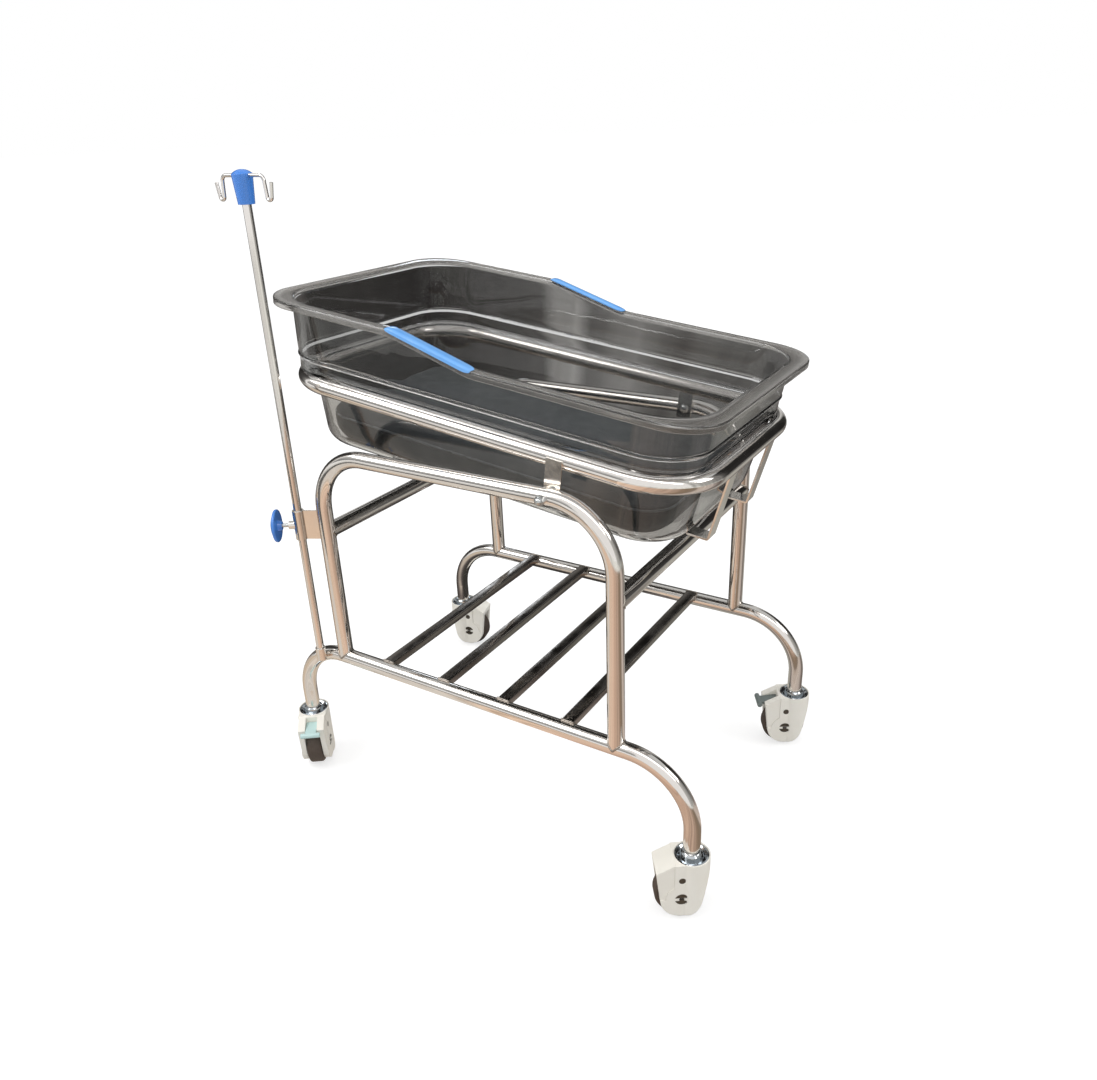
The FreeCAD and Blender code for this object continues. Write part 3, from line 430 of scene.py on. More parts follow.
# ABS in clear blue, injection moulded: glossy, so it takes broad pale highlights
blue_abs = moulding("blue_moulded_abs", ("#3a7fdd", "#4f95ee"), (0.14, 0.24),
                    [(60.0, 0.04)], 0.8, IOR=1.53, Coat_Weight=0.3)
# The grips are the same blue, painted paler: a painted highlight that stands for the pale sky
# mirrored on their tops
grip_abs_painted_highlight = moulding("blue_abs_painted_pale_highlight", ("#5aa5f5", "#80bdfa"), (0.12, 0.24),
                    [(45.0, 0.05)], 0.8, IOR=1.53, Coat_Weight=0.3)
# Ivory nylon of the caster forks: satin, slightly yellow where it is thick
ivory_nylon = moulding("ivory_moulded_nylon", ("#fbf9f1", "#f3eee2"), (0.34, 0.50),
                       [(700.0, 0.012), (40.0, 0.05)], 1.6, IOR=1.53)
# Dark inserts in the fork: olive-brown nylon
dark_insert = moulding("dark_moulded_insert", ("#4b4336", "#3a3329"), (0.35, 0.55),
                       [(900.0, 0.01)], 0.4, IOR=1.53)
# Wheel core, grey-brown polypropylene
wheel_core_pp = moulding("grey_brown_polypropylene", ("#5a5148", "#494139"), (0.40, 0.55),
                         [(600.0, 0.02)], 0.4, IOR=1.49)
# Tread of thermoplastic rubber, with floor dust in patches
tread_rubber = moulding("dusty_tread_rubber", ("#57493f", "#3d342d"), (0.55, 0.80),
                        [(500.0, 0.05), (1500.0, 0.02)], 0.0, IOR=1.52)
# Brake pedals: a pale aqua one and a grey one
pale_pedal = moulding("pale_aqua_moulded_nylon", ("#cfe9e7", "#bcdedb"), (0.30, 0.45),
                      [(700.0, 0.012)], 0.9, IOR=1.53)
grey_pedal = moulding("grey_moulded_nylon", ("#7d8785", "#66706e"), (0.32, 0.48),
                      [(700.0, 0.012)], 0.9, IOR=1.53)
print("eight plastics and rubbers")

# %% Clear plastics of the tub
def clear_plastic(name, cards, rough, clear, waves):
    """See-through plastic: its tint follows the drawn sheet's thickness, and scuffs blur it."""
    made, tree, shader = start_material(name, cards[0], 0.0, rough[0],
                                        Transmission_Weight=clear, IOR=1.49)
    place = add(tree, "ShaderNodeTexCoord").outputs["Object"]
    vary(tree, shader, place, "Base Color", cards[0], cards[1], 5.0, 2.0)
    vary(tree, shader, place, "Roughness", rough[0], rough[1], 18.0, 8.0)
    relief(tree, shader, place, waves)
    return made


# Clear acrylic with a faint smoke tint, vacuum formed: slow waves bend what is behind it
smoke_acrylic = clear_plastic("smoke_tinted_acrylic", ("#c0c0c0", "#dadad9"), (0.0, 0.03), 1.0,
                              [(12.0, 0.25)])
# The rolled rim is the same sheet doubled on itself, so it is a little hazy
rim_acrylic = clear_plastic("rolled_rim_acrylic", ("#aba8a4", "#bdbab6"), (0.05, 0.12), 0.92,
                            [(9.0, 0.12)])
print("two clear plastics")

# %% Vinyl cover of the mattress
# Coated fabric, heat sealed: charcoal, with a fine leather-like grain
grain_mm = 1.5
charcoal_vinyl, tree, shader = start_material("charcoal_coated_vinyl", "#31373b", 0.0, 0.52,
                                              IOR=1.5)
place = add(tree, "ShaderNodeTexCoord").outputs["Object"]
vary(tree, shader, place, "Base Color", "#2a3034", "#3b4146", 14.0, 4.0)
vary(tree, shader, place, "Roughness", 0.46, 0.60, 60.0, 4.0)
cells = add(tree, "ShaderNodeTexVoronoi", {"Vector": place, "Scale": 1000 / grain_mm},
            feature="SMOOTH_F1")
grain = add(tree, "ShaderNodeBump", {"Height": cells.outputs["Distance"], "Distance": 0.0001,
                                     "Strength": 0.12})
slow = add(tree, "ShaderNodeTexNoise", {"Vector": place, "Scale": 11.0, "Detail": 2.0})
soft = add(tree, "ShaderNodeBump", {"Height": slow.outputs["Fac"], "Distance": 0.002,
                                    "Strength": 1.0, "Normal": grain.outputs[0]})
tree.links.new(soft.outputs[0], shader.inputs["Normal"])
# The cord along its top edge, in the same vinyl stretched thin: smoother, glossier and paler
piping_vinyl, tree, shader = start_material("stretched_piping_vinyl", "#6a7074", 0.0, 0.3, IOR=1.5)
place = add(tree, "ShaderNodeTexCoord").outputs["Object"]
vary(tree, shader, place, "Base Color", "#565c60", "#6e7478", 14.0, 4.0)
vary(tree, shader, place, "Roughness", 0.24, 0.36, 60.0, 4.0)
print("charcoal vinyl and its piping")

# %% [markdown]
# ## Dress the solids that keep their shape
# Tube, strip, fasteners and casters are right as they stand, so each only gets its finish in
# its own material slots.

# %% Finish by node
def dress(finish, *names):
    """Put a finish in every material slot of the named nodes."""
    for name in names:
        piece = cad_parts[name]
        if not piece.material_slots:
            piece.data.materials.append(finish)
        for slot in piece.material_slots:
            slot.material = finish


dress(polished_tube, "arch_near", "arch_far", "rail_near", "rail_far", "cross_bar_head",
      "cross_bar_foot", "tub_ring", "pole_rod", "pole_hooks")
dress(polished_strip, "pivot_strap_near", "pivot_strap_far", "foot_strap_near", "foot_strap_far",
      "clamp_sleeve", "clamp_plate", "pole_foot_cup")
dress(bright_zinc, "pivot_bolts", "pivot_washers", "pivot_nuts", "clamp_screw")
dress(blue_abs, "pole_hub", "clamp_knob")
for corner in ("head_near", "head_far", "foot_near", "foot_far"):
    start = "caster_" + corner
    dress(chromed_cup, start + "_stem")
    dress(ivory_nylon, start + "_fork")
    dress(bright_zinc, start + "_axle")
    dress(dark_insert, start + "_axle_caps", start + "_rivets")
    dress(wheel_core_pp, start + "_wheel_core")
    dress(tread_rubber, start + "_wheel_tread")
dress(pale_pedal, "caster_head_near_brake_pedal")
dress(grey_pedal, "caster_foot_far_brake_pedal")
print("solids dressed")

# %% [markdown]
# ## The tub
# The tub is one sheet of acrylic drawn down over a mould: a basin with leaning sides, a ledge
# that lies on the ring of tube, an upright band, a shoulder, a wall that flares, and a rim
# rolled over and down.  The rim is high at the head end and slopes down to the foot.
# Every level of it is a rectangle with round corners, so the wall is a stack of such outlines
# joined by faces, down the inside as well as the outside, and a bevel rounds the turns.

# %% Where the ring frame lies, and the tub's sizes
ring_place = Matrix.Translation((0.144, 0, 0.6533)) @ Matrix.Rotation(math.radians(7.0), 4, "Y")
to_part = ring_place @ Matrix.Scale(0.001, 4)         # from millimetres in the ring's frame

tube_r_mm = 12.5
ring_gap_mm = 2.0                     # basin's wall to the ring of tube
ledge_gap_mm = 0.3                    # ledge's underside to the ring
ring_mm = {"head": -495.5, "foot": 199.5, "half": 202.0, "corner": 95.0}
rim_mm = {"head": -520.5, "foot": 216.0, "half": 222.0, "corner": 70.0}
wall_mm = 4.0
basin_depth_mm = 110.0
side_lean_deg, head_lean_deg = 9.5, 4.5
corner_share = 0.3                    # the corners tighten by this share of the lean
outer_bend_mm, inner_bend_mm = 28.0, 24.0
band_in_mm = 19.0                     # the upright band, inside the rim's edge
shoulder_mm = 38.0                    # height of the shoulder over the ring's middle
flare_low_in_mm, flare_high_in_mm = 17.0, 11.5
flare_mm = 84.0                       # height over which the wall flares
wall_end_in_mm, wall_corner_mm = 7.5, 93.5
lip_drop_mm = 10.5                    # how far the rolled rim hangs down
rim_high_mm, rim_low_mm = 122.0, 93.5
slope_from_mm, slope_to_mm, slope_bend_mm = -262.0, -125.0, 90.0
SIDE, END, BEND = 110, 34, 14        # steps along a side, an end and a corner


def rim_height(x):
    """Height of the rim's top at x: level, a slope between two easy bends, level again."""
    slope = math.atan2(rim_high_mm - rim_low_mm, slope_to_mm - slope_from_mm)
    reach = slope_bend_mm * math.tan(slope / 2)
    line = rim_high_mm - (x - slope_from_mm) * math.tan(slope)
    into = np.clip(x - (slope_from_mm - reach), 0, None)
    out = np.clip((slope_to_mm + reach) - x, 0, None)
    first = rim_high_mm - slope_bend_mm + np.sqrt(np.clip(slope_bend_mm ** 2 - into ** 2, 0, None))
    last = rim_low_mm + slope_bend_mm - np.sqrt(np.clip(slope_bend_mm ** 2 - out ** 2, 0, None))
    head_part = np.where(into > 0, first, rim_high_mm)
    foot_part = np.where(out > 0, last, rim_low_mm)
    z = np.where(x < slope_from_mm + reach * math.cos(slope), head_part, line)
    return np.where(x > slope_to_mm - reach * math.cos(slope), foot_part, z)


def outline(head, foot, half, corner):
    """Points round a rectangle with round corners, from the near side's head end."""
    runs = []
    for cx, cy, turn, steps in ((foot - corner, -half + corner, -90, SIDE),
                                (foot - corner, half - corner, 0, END),
                                (head + corner, half - corner, 90, SIDE),
                                (head + corner, -half + corner, 180, END)):
        a = np.radians(np.linspace(turn, turn + 90, BEND + 1))
        arc = np.stack([cx + corner * np.cos(a), cy + corner * np.sin(a)], 1)
        runs.append((steps, arc))
    points = []
    for k, (steps, arc) in enumerate(runs):
        start = runs[k - 1][1][-1]
        share = np.linspace(0, 1, steps + 1)[:-1, None]
        points += [start + (arc[0] - start) * share, arc[:-1]]
    return np.concatenate(points)


def basin_outline(z, offset=0.0, tuck=0.0, extra=0.0):
    """The basin at height z, drawn in by the wall's offset and, under its bend, by tuck."""
    lean = -z * math.tan(math.radians(side_lean_deg))
    head_lean = -z * math.tan(math.radians(head_lean_deg))
    inset = tube_r_mm + ring_gap_mm + offset
    corner = ring_mm["corner"] - inset + offset / 2 - lean * corner_share - tuck + extra
    return outline(ring_mm["head"] + inset + head_lean + tuck,
                   ring_mm["foot"] - inset - lean - tuck,
                   ring_mm["half"] - inset - lean - tuck, max(corner, 2.0))


def rim_outline(inset):
    """The rim's edge, drawn in by inset."""
    return outline(rim_mm["head"] + inset, rim_mm["foot"] - inset, rim_mm["half"] - inset,
                   rim_mm["corner"] - inset)


def wall_outline(inset):
    """The wall under the rim: further in at the ends, and rounder at its corners."""
    return outline(rim_mm["head"] + inset + wall_end_in_mm, rim_mm["foot"] - inset - wall_end_in_mm,
                   rim_mm["half"] - inset, wall_corner_mm - inset)


print("rim is", rim_high_mm, "mm above the ring at the head and", rim_low_mm, "at the foot")

# %% Stack of outlines, from the underside up, over the rim and down the inside
def flare(share, drop, offset):
    """The flaring wall: share 0 at the shoulder, 1 at drop under the rim."""
    foot_of = shoulder_mm + 2.2           # just over the shoulder's last turn
    spread = flare_low_in_mm - flare_high_in_mm
    wide, slim = wall_outline(flare_high_in_mm + offset), wall_outline(flare_low_in_mm + offset)
    xy = wall_outline(14.0 + offset)      # midway: the rim's height follows the outline
    for _ in range(2):
        z = foot_of + (rim_height(xy[:, 0]) - drop - foot_of) * share
        inset = flare_low_in_mm - spread * (z - shoulder_mm) / flare_mm + offset
        blend = ((inset - flare_high_in_mm - offset) / spread)[:, None]
        xy = wide + (slim - wide) * blend
    return xy, z


def tub_levels():
    """Each level: points, heights, how round its turn is (mm), and whether it is in the rim."""
    levels = []
    ledge = tube_r_mm + ledge_gap_mm
    ledge_top = ledge + wall_mm

    def at(xy, z, turn_mm=0.0, rim=False):
        levels.append((xy, np.broadcast_to(np.asarray(z, float), len(xy)), turn_mm, rim))

    def bend(offset, radius):
        """The round bend between the basin's bottom and its sides, from the bottom up."""
        tilt = math.radians(side_lean_deg)
        centre_z = -basin_depth_mm + offset + radius
        start_z = centre_z - radius * math.sin(tilt)
        angles = [math.radians(a) for a in np.linspace(90, side_lean_deg, 9)]
        return [(basin_outline(start_z, offset, radius * (math.cos(tilt) - math.cos(a))),
                 centre_z - radius * math.sin(a)) for a in angles]

    # Up the outside: bend, basin, ledge, band, shoulder and wall
    for xy, z in bend(0.0, outer_bend_mm):
        at(xy, z)
    for z in np.linspace(-70, 0, 6):
        at(basin_outline(z), z)
    at(basin_outline(ledge), ledge, 1.0)
    at(wall_outline(band_in_mm), ledge, 1.2)
    at(wall_outline(band_in_mm), 24.0)
    at(wall_outline(18.6), shoulder_mm - 5.0, 1.0)
    at(wall_outline(16.2), shoulder_mm - 2.2, 1.2)
    at(wall_outline(16.0), shoulder_mm - 0.6, 1.2)
    at(wall_outline(17.4), shoulder_mm + 2.0, 1.0)
    for share in np.linspace(0.12, 0.9, 7):
        at(*flare(share, wall_mm, 0.0))
    at(*flare(1.0, wall_mm, 0.0), 0.8, True)
    # Out under the rim, down behind its lip, and up and over its edge
    for inset, drop, turn in ((3.0, wall_mm, 0.8), (3.0, lip_drop_mm, 0.9), (0.0, lip_drop_mm, 0.9),
                              (0.0, 7.0, 0.0), (0.0, 3.5, 0.0), (0.0, 0.0, 1.9)):
        xy = rim_outline(inset)
        at(xy, rim_height(xy[:, 0]) - drop, turn, True)
    at(*flare(1.0, 0.0, wall_mm), 1.6, True)
    # Down the inside
    for share in np.linspace(0.92, 0.08, 8):
        at(*flare(share, 0.0, wall_mm))
    at(wall_outline(flare_low_in_mm + wall_mm), shoulder_mm + 2.0, 1.6)
    at(wall_outline(band_in_mm + wall_mm), shoulder_mm - 2.0, 1.6)
    at(wall_outline(band_in_mm + wall_mm), 26.0)
    at(wall_outline(band_in_mm + wall_mm), ledge_top, 1.0)
    at(basin_outline(ledge_top, wall_mm), ledge_top, 1.0)
    for z in np.linspace(0, -70, 6):
        at(basin_outline(z, wall_mm), z)
    for xy, z in reversed(bend(wall_mm, inner_bend_mm)):
        at(xy, z)
    return levels


# %% Skin over the levels, and the tub
widest_turn_mm = 2.0


def skin(levels):
    """Faces between each level and the next, closed at both ends, its turns marked to round."""
    bm = bmesh.new()
    turn_layer = bm.edges.layers.float.new("bevel_weight_edge")
    loops = []
    for xy, z, _, _ in levels:
        loops.append([bm.verts.new(to_part @ Vector((x, y, h))) for (x, y), h in zip(xy, z)])
    count = len(loops[0])
    for k in range(len(loops) - 1):
        low, high = loops[k], loops[k + 1]
        for i in range(count):
            j = (i + 1) % count
            face = bm.faces.new((low[i], low[j], high[j], high[i]))
            face.material_index = 1 if levels[k][3] and levels[k + 1][3] else 0
    bm.faces.new(loops[0][::-1])
    bm.faces.new(loops[-1])
    for loop, (_, _, turn_mm, _) in zip(loops, levels):
        if turn_mm:
            for i in range(count):
                edge = bm.edges.get((loop[i], loop[(i + 1) % count]))
                edge[turn_layer] = turn_mm / widest_turn_mm
    return bm


tub = as_object("tub_shell", skin(tub_levels()))
tub.data.materials.append(smoke_acrylic)
tub.data.materials.append(rim_acrylic)
rounding = tub.modifiers.new("turns", "BEVEL")
rounding.limit_method = "WEIGHT"
rounding.width = widest_turn_mm / 1000
rounding.segments = 3
rounding.use_clamp_overlap = False
settle(tub, 50.0)
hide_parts("tub")
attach(tub, "tub")

# %% [markdown]
# ## The mattress
# A pad of foam in a heat-sealed vinyl cover lies in the basin.  Its form is drawn first, a
# little smaller than the space it has.  Then the cover is blown out like a cushion by the
# Cloth modifier, which crowns the top and rounds the corners as foam does.  No point may move
# far, so the pad stays clear of the basin, and its underside stays flat where it rests.

# %% The pad's form before it is filled
pad_top_mm = -48.0
pad_low_mm = wall_mm - basin_depth_mm
pad_clear_mm = 3.0                   # gap to the basin's wall
pad_slim_mm = 2.0                    # how much smaller the cover starts
pad_drop_mm = 4.5                    # how much lower its top starts
pad_squarer_mm = 15.0                # how much smaller its corners are than the basin's
pad_shorter_mm = 14.0                # so each end stands back, and the corners clear the basin
pad_under_r_mm, pad_edge_r_mm = 30.0, 9.0


def pad_outline(z, tuck=0.0):
    """The basin's outline, smaller, squarer at its corners and shorter at both ends."""
    xy = basin_outline(z, wall_mm + pad_clear_mm + pad_slim_mm, tuck, -pad_squarer_mm)
    head, foot = xy[:, 0].min(), xy[:, 0].max()
    middle, half = (foot + head) / 2, (foot - head) / 2
    xy[:, 0] = middle + (xy[:, 0] - middle) * (1 - pad_shorter_mm / half)
    return xy


def pad_levels():
    """Underside, round lower edge, leaning side, round top edge and flat top."""
    low, top = pad_low_mm + 0.3, pad_top_mm - pad_drop_mm
    under_r, edge_r = pad_under_r_mm, pad_edge_r_mm
    lean_share = 0.15                # the bend leans out with the basin's side as it rises
    levels = []
    for turn in np.radians(np.linspace(90, 15, 7)):
        z = low + under_r - under_r * math.sin(turn)
        tuck = under_r * (1 - math.cos(turn)) - (z - pad_low_mm) * lean_share
        levels.append((pad_outline(pad_low_mm, tuck), z))
    for z in np.linspace(-80, top - edge_r, 4):
        levels.append((pad_outline(z), z))
    for turn in np.radians(np.linspace(15, 90, 6)):
        levels.append((pad_outline(top - edge_r, edge_r * (1 - math.cos(turn))),
                       top - edge_r + edge_r * math.sin(turn)))
    for tuck in (20, 36, 52, 72, 96, 122):
        levels.append((pad_outline(top - edge_r, tuck), top))
    return [(xy, np.full(len(xy), z), 0.0, False) for xy, z in levels]


# %% Fill the pad
def fill_pad(made, voxel=0.006, pressure=4.0, frames=20, crown_mm=2.0, bed=0.03):
    """Blow the cover out with Cloth, then keep each point's move within its cap.

    The top may crown by crown_mm, and the lowest part, bed metres high, rises less than that.
    """
    even = made.modifiers.new("even", "REMESH")
    even.mode = "VOXEL"
    even.voxel_size = voxel
    settle(made)
    before = np.empty(len(made.data.vertices) * 3)
    made.data.vertices.foreach_get("co", before)
    cover = made.modifiers.new("cover", "CLOTH")
    cover.settings.use_pressure = True
    cover.settings.uniform_pressure_force = pressure
    cover.settings.effector_weights.gravity = 0.0
    cover.point_cache.frame_end = frames
    for step in range(1, frames + 1):
        bpy.context.scene.frame_set(step)
    settle(made)
    bpy.context.scene.frame_set(1)
    after = np.empty_like(before)
    made.data.vertices.foreach_get("co", after)
    upright = np.array(ring_place.to_3x3().col[2])
    move = (after - before).reshape(-1, 3)
    rise = move @ upright
    flat = move - rise[:, None] * upright
    length = np.linalg.norm(flat, axis=1) + 1e-12         # never zero, as it divides
    flat *= (np.minimum(length, pad_slim_mm / 1000) / length)[:, None]
    start = before.reshape(-1, 3)
    height = (start - np.array(ring_place.translation)) @ upright
    above_bed = np.clip((height - pad_low_mm / 1000) / bed, 0, 1)
    rise = np.clip(rise, 0.0, (pad_drop_mm + crown_mm) / 1000) * above_bed
    made.data.vertices.foreach_set("co", (start + flat + rise[:, None] * upright).ravel())
    print("pad filled: its top rose", round(float(rise.max()) * 1000, 1), "mm")
    finer = made.modifiers.new("finer", "SUBSURF")
    finer.levels = finer.render_levels = 1
    settle(made, 60.0)


mattress = as_object("mattress_pad", skin(pad_levels()))
mattress.data.materials.append(charcoal_vinyl)
fill_pad(mattress)
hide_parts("mattress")
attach(mattress, "mattress")

# %% [markdown]
# ## The rim's grips
# A blue cap is pushed over the flange on each side, along the slope, so that hands have a
# soft place to lift by.  Its section is a strip with a small lip outside, and its ends are
# round and thin out.  The section is carried along the rim's line in short steps.

# %% Grips
grip_from_mm, grip_to_mm, grip_steps = -266.0, -121.0, 60
grip_end_steps = 6.0                 # each end swells to its full section over these
grip_clear_mm = 0.2                  # between the cap and the rim
grip_outer_mm, grip_inner_mm = 222.2, 207.0
grip_thin_mm, grip_swell_mm = 0.4, 2.1
grip_narrow_mm = 5.0                 # how much narrower each end is


def grip(side):
    """One cap, on the near side for -1 and the far side for 1."""
    bm = bmesh.new()
    stations = []
    outer = grip_outer_mm
    for k, x in enumerate(np.linspace(grip_from_mm, grip_to_mm, grip_steps)):
        from_end = min(k, grip_steps - 1 - k) / grip_end_steps
        swell = math.sqrt(max(1 - (1 - min(from_end, 1.0)) ** 2, 0.0))
        z = float(rim_height(np.array([x]))[0]) + grip_clear_mm
        thick = grip_thin_mm + grip_swell_mm * swell
        top, low = z + thick, z - 4.0 + 2.5 * (1 - swell)
        lip = outer + 0.5 + 2.0 * swell
        inner = grip_inner_mm + grip_narrow_mm * (1 - swell)
        section = [(outer, low), (lip, low + 0.4), (lip, top - 1.4),
                   (outer + 1.6 * swell, top - 0.3), (outer - 1.0, top), (inner + 1.6, top),
                   (inner + 0.3, z + thick * 0.7), (inner, z), (outer, z)]
        stations.append([bm.verts.new(to_part @ Vector((x, side * y, h))) for y, h in section])
    for a, b in zip(stations, stations[1:]):
        for i in range(len(a)):
            j = (i + 1) % len(a)
            bm.faces.new((a[i], b[i], b[j], a[j]))
    bm.faces.new(stations[0])
    bm.faces.new(stations[-1][::-1])
    bmesh.ops.recalc_face_normals(bm, faces=bm.faces)
    return bm


for side, label in ((-1, "near"), (1, "far")):
    piece = as_object("grip_" + label, grip(side))
    piece.data.materials.append(grip_abs_painted_highlight)
    settle(piece, 50.0)
    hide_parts("rim_grip_" + label)
    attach(piece, "tub")

# %% [markdown]
# ## Shelf bars, by Geometry Nodes
# Four lengths of rectangular tube cross the shelf.  They are alike and evenly spaced, so one
# is drawn, with its rolled corners, and a row of points repeats it.  The tree's inputs are
# the sizes that a fabricator would ask for.

# %% A tree with named inputs, and a way to run it
def start_tree(name, inputs):
    """A Geometry Nodes tree with named inputs: name, kind of socket and starting value."""
    tree = bpy.data.node_groups.new(name, "GeometryNodeTree")
    tree.interface.new_socket("Geometry", in_out="INPUT", socket_type="NodeSocketGeometry")
    for label, kind, value in inputs:
        tree.interface.new_socket(label, in_out="INPUT", socket_type=kind).default_value = value
    tree.interface.new_socket("Geometry", in_out="OUTPUT", socket_type="NodeSocketGeometry")
    return tree, tree.nodes.new("NodeGroupInput")


def end_tree(tree, geometry, finish):
    """Every tree ends the same way: real geometry, with its finish."""
    real = add(tree, "GeometryNodeRealizeInstances", {0: geometry})
    done = add(tree, "GeometryNodeSetMaterial", {"Geometry": real.outputs[0], "Material": finish})
    add(tree, "NodeGroupOutput", {0: done.outputs[0]})


def grow(name, tree, values, seed=None):
    """Run the tree on a seed, keep the result as a plain mesh, and drop the tree's modifier."""
    made = show(name, seed or bpy.data.meshes.new(name))
    maker = made.modifiers.new("maker", "NODES")
    maker.node_group = tree
    for item in tree.interface.items_tree:
        if item.in_out == "INPUT" and item.name in values:
            maker[item.identifier] = values[item.name]
    mesh = final_mesh(made, 40)
    bpy.data.objects.remove(made)
    return show(name, mesh)


print("a tree can be started, ended and run")

# %% The shelf bars' tree
bars, given = start_tree("shelf_bars", [
    ("Count", "NodeSocketInt", 4), ("Pitch", "NodeSocketFloat", 0.114),
    ("Width", "NodeSocketFloat", 0.020), ("Height", "NodeSocketFloat", 0.012),
    ("Corner", "NodeSocketFloat", 0.0018), ("Length", "NodeSocketFloat", 0.456),
    ("First", "NodeSocketVector", (0, 0, 0))])
section = add(bars, "GeometryNodeCurvePrimitiveQuadrilateral", {
    "Width": given.outputs["Width"], "Height": given.outputs["Height"]})
rolled = add(bars, "GeometryNodeFilletCurve", {
    "Curve": section.outputs[0], "Radius": given.outputs["Corner"], "Count": 4}, mode="POLY")
plate = add(bars, "GeometryNodeFillCurve", {"Curve": rolled.outputs[0]}, mode="NGONS")
drawn = add(bars, "GeometryNodeExtrudeMesh", {
    "Mesh": plate.outputs[0], "Offset Scale": given.outputs["Length"], "Individual": False})
under = add(bars, "GeometryNodeFlipFaces", {"Mesh": plate.outputs[0]})
solid = add(bars, "GeometryNodeJoinGeometry", {0: drawn.outputs[0]})
bars.links.new(under.outputs[0], solid.inputs[0])
welded = add(bars, "GeometryNodeMergeByDistance", {"Geometry": solid.outputs[0],
                                                   "Distance": 0.00001})
row_step = add(bars, "ShaderNodeCombineXYZ", {"X": given.outputs["Pitch"]})
row = add(bars, "GeometryNodeMeshLine", {
    "Count": given.outputs["Count"], "Start Location": given.outputs["First"],
    "Offset": row_step.outputs[0]})
laid = add(bars, "GeometryNodeInstanceOnPoints", {
    "Points": row.outputs[0], "Instance": welded.outputs[0],
    "Rotation": (math.radians(-90), 0, 0)})
end_tree(bars, laid.outputs[0], shelf_bar_steel)
print("the bars' tree has", len(bars.nodes), "nodes")

# %% Shelf bars
slat_low, slat_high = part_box("shelf_slat_1")
last_low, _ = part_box("shelf_slat_4")
slat_pitch = (last_low.x - slat_low.x) / 3
shelf = grow("shelf_bars", bars, {
    "Count": 4, "Pitch": slat_pitch, "Width": slat_high.x - slat_low.x,
    "Height": slat_high.z - slat_low.z, "Corner": 0.0018, "Length": slat_high.y - slat_low.y,
    "First": ((slat_low.x + slat_high.x) / 2, slat_low.y, (slat_low.z + slat_high.z) / 2)})
print("shelf bars from", tuple(round(v, 3) for v in shelf.bound_box[0]), "to",
      tuple(round(v, 3) for v in shelf.bound_box[6]))
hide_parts("shelf_slat_1", "shelf_slat_2", "shelf_slat_3", "shelf_slat_4")
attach(shelf, "frame")

# %% [markdown]
# ## Weld beads, by Geometry Nodes
# Where one tube stands on another the fabricator runs a bead round the joint and grinds it
# to a small fillet.  The joint's line is where the two round tubes cross, which is worked out
# below.  The tree sweeps a small round bead along each line, swelling and thinning a little
# as a hand-laid bead does.

# %% The lines of the joints
tube_r = tube_r_mm / 1000
rail_z, bar_z = 0.242, 0.474
arch_leg_x = (-0.266, 0.252)
side_y = 0.230
least_depth = 0.003                  # a bead never comes nearer to the rail's middle
round_steps = [2 * math.pi * k / 64 for k in range(64)]


def slat_section(left, steps=8):
    """Points round a shelf bar's end, from its lower left corner: up, across, down and back."""
    right = left + slat_high.x - slat_low.x
    low, top = slat_low.z, slat_high.z
    corners = [(left, low), (left, top), (right, top), (right, low)]
    return [(x0 + (x1 - x0) * k / steps, z0 + (z1 - z0) * k / steps)
            for (x0, z0), (x1, z1) in zip(corners, corners[1:] + corners[:1])
            for k in range(steps)]


def depth_on_rail(z):
    """How far the rail's round side stands out from its middle at height z."""
    return math.sqrt(max(tube_r ** 2 - (z - rail_z) ** 2, least_depth ** 2))


lines = []
for side in (-1, 1):
    y0 = side * side_y
    for x0 in arch_leg_x:
        lines.append([(x0 + tube_r * math.cos(a), y0 + tube_r * math.sin(a),
                       rail_z + tube_r * abs(math.cos(a))) for a in round_steps])
        lines.append([(x0 + tube_r * math.cos(a), y0 - side * tube_r * abs(math.sin(a)),
                       bar_z + tube_r * math.sin(a)) for a in round_steps])
    for k in range(4):
        lines.append([(x, y0 - side * depth_on_rail(z), z)
                      for x, z in slat_section(slat_low.x + k * slat_pitch)])
print(len(lines), "joints to weld")

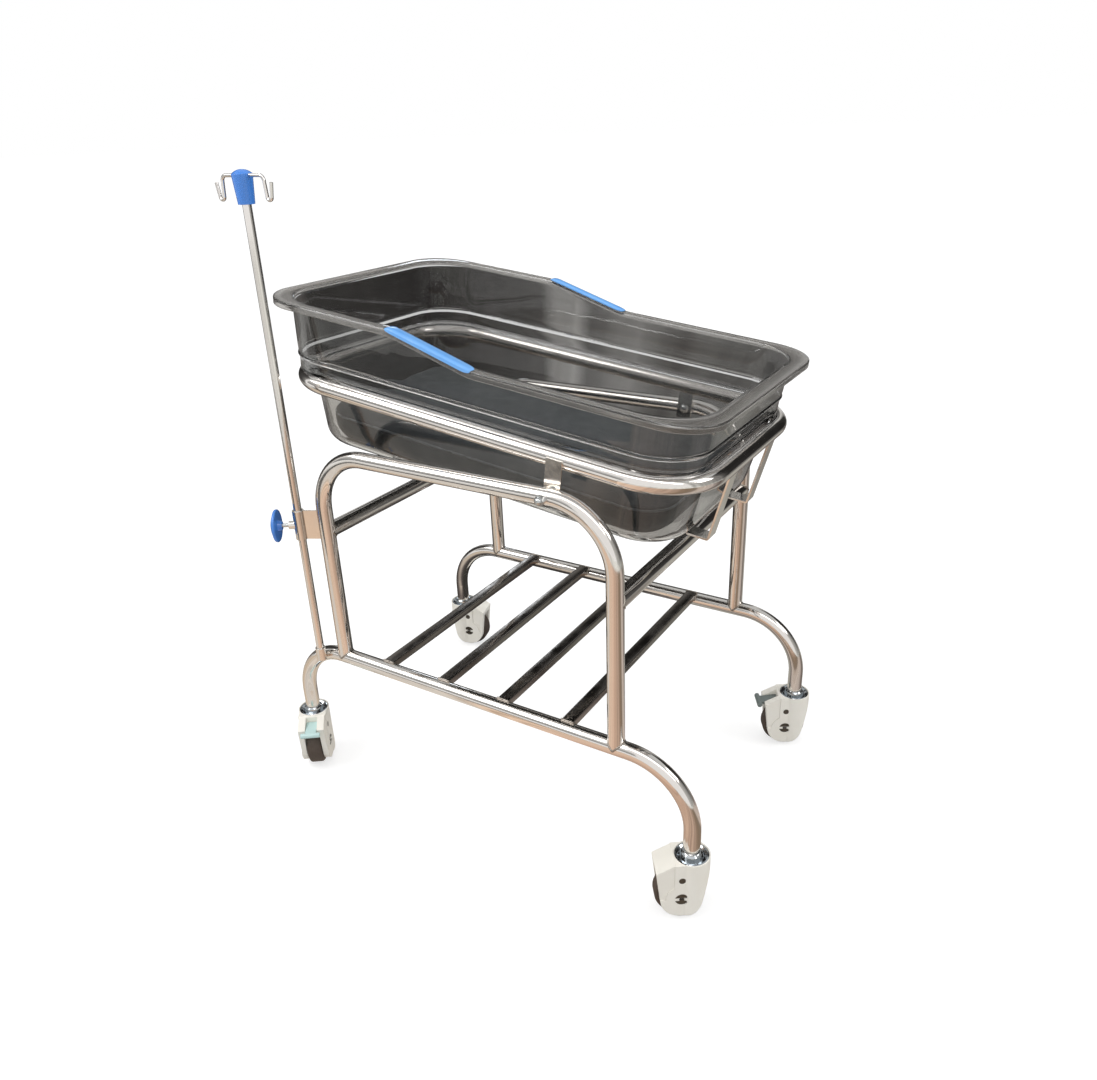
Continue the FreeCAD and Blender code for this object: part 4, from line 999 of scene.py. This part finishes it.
# %% The beads' tree
beads, given = start_tree("weld_beads", [
    ("Bead", "NodeSocketFloat", 0.0015), ("Ripple", "NodeSocketFloat", 0.15),
    ("Ripple pitch", "NodeSocketFloat", 0.004)])
fine = add(beads, "GeometryNodeResampleCurve", {
    "Curve": given.outputs["Geometry"], "Length": 0.0015}, mode="LENGTH")
along = add(beads, "GeometryNodeSplineParameter").outputs["Length"]
waves = maths(beads, "DIVIDE", along, given.outputs["Ripple pitch"])
swing = maths(beads, "SINE", maths(beads, "MULTIPLY", waves, 2 * math.pi))
swell = maths(beads, "MULTIPLY_ADD", swing, given.outputs["Ripple"], 1.0)
fat = add(beads, "GeometryNodeSetCurveRadius", {"Curve": fine.outputs[0], "Radius": swell})
bead_section = add(beads, "GeometryNodeCurvePrimitiveCircle", {
    "Resolution": 10, "Radius": given.outputs["Bead"]})
bead_mesh = add(beads, "GeometryNodeCurveToMesh", {
    "Curve": fat.outputs[0], "Profile Curve": bead_section.outputs[0], "Scale": swell})
end_tree(beads, bead_mesh.outputs[0], ground_weld)
print("the beads' tree has", len(beads.nodes), "nodes")


# %% Weld beads
def closed_lines(name, lines):
    """A curve of closed lines, each given as its points."""
    curve = bpy.data.curves.new(name, "CURVE")
    curve.dimensions = "3D"
    for line in lines:
        spline = curve.splines.new("POLY")
        spline.points.add(len(line) - 1)
        for point, place in zip(spline.points, line):
            point.co = (*place, 1.0)
        spline.use_cyclic_u = True
    return curve


welds = grow("weld_beads", beads, {"Bead": 0.0015, "Ripple": 0.15, "Ripple pitch": 0.004},
             closed_lines("joint_lines", lines))
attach(welds, "frame")

# %% [markdown]
# ## The mattress's sealed seam
# The cover's top panel is heat sealed to its side over a thin cord, which shows as a bead
# along the top edge.  The tree that laid the weld beads lays this one too, thicker and almost
# without ripple.  Its line is laid on the filled pad, so the bead follows the soft edge.

# %% Seam
seam_tuck_mm, seam_drop_mm = 2.0, 3.5        # in from the pad's side, down from its top
seam_lift = 0.0001

flat_top_mm = pad_top_mm - pad_drop_mm
cover_surface = BVHTree.FromObject(mattress, bpy.context.evaluated_depsgraph_get())
seam_line = []
for x, y in pad_outline(flat_top_mm - pad_edge_r_mm, seam_tuck_mm):
    near_edge = to_part @ Vector((x, y, flat_top_mm - seam_drop_mm))
    place, outward, _, _ = cover_surface.find_nearest(near_edge)
    seam_line.append(place + outward * seam_lift)
seam = grow("mattress_seam", beads, {"Bead": 0.0016, "Ripple": 0.03, "Ripple pitch": 0.012},
            closed_lines("seam_line", [seam_line]))
seam.data.materials.clear()
seam.data.materials.append(piping_vinyl)
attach(seam, "mattress")
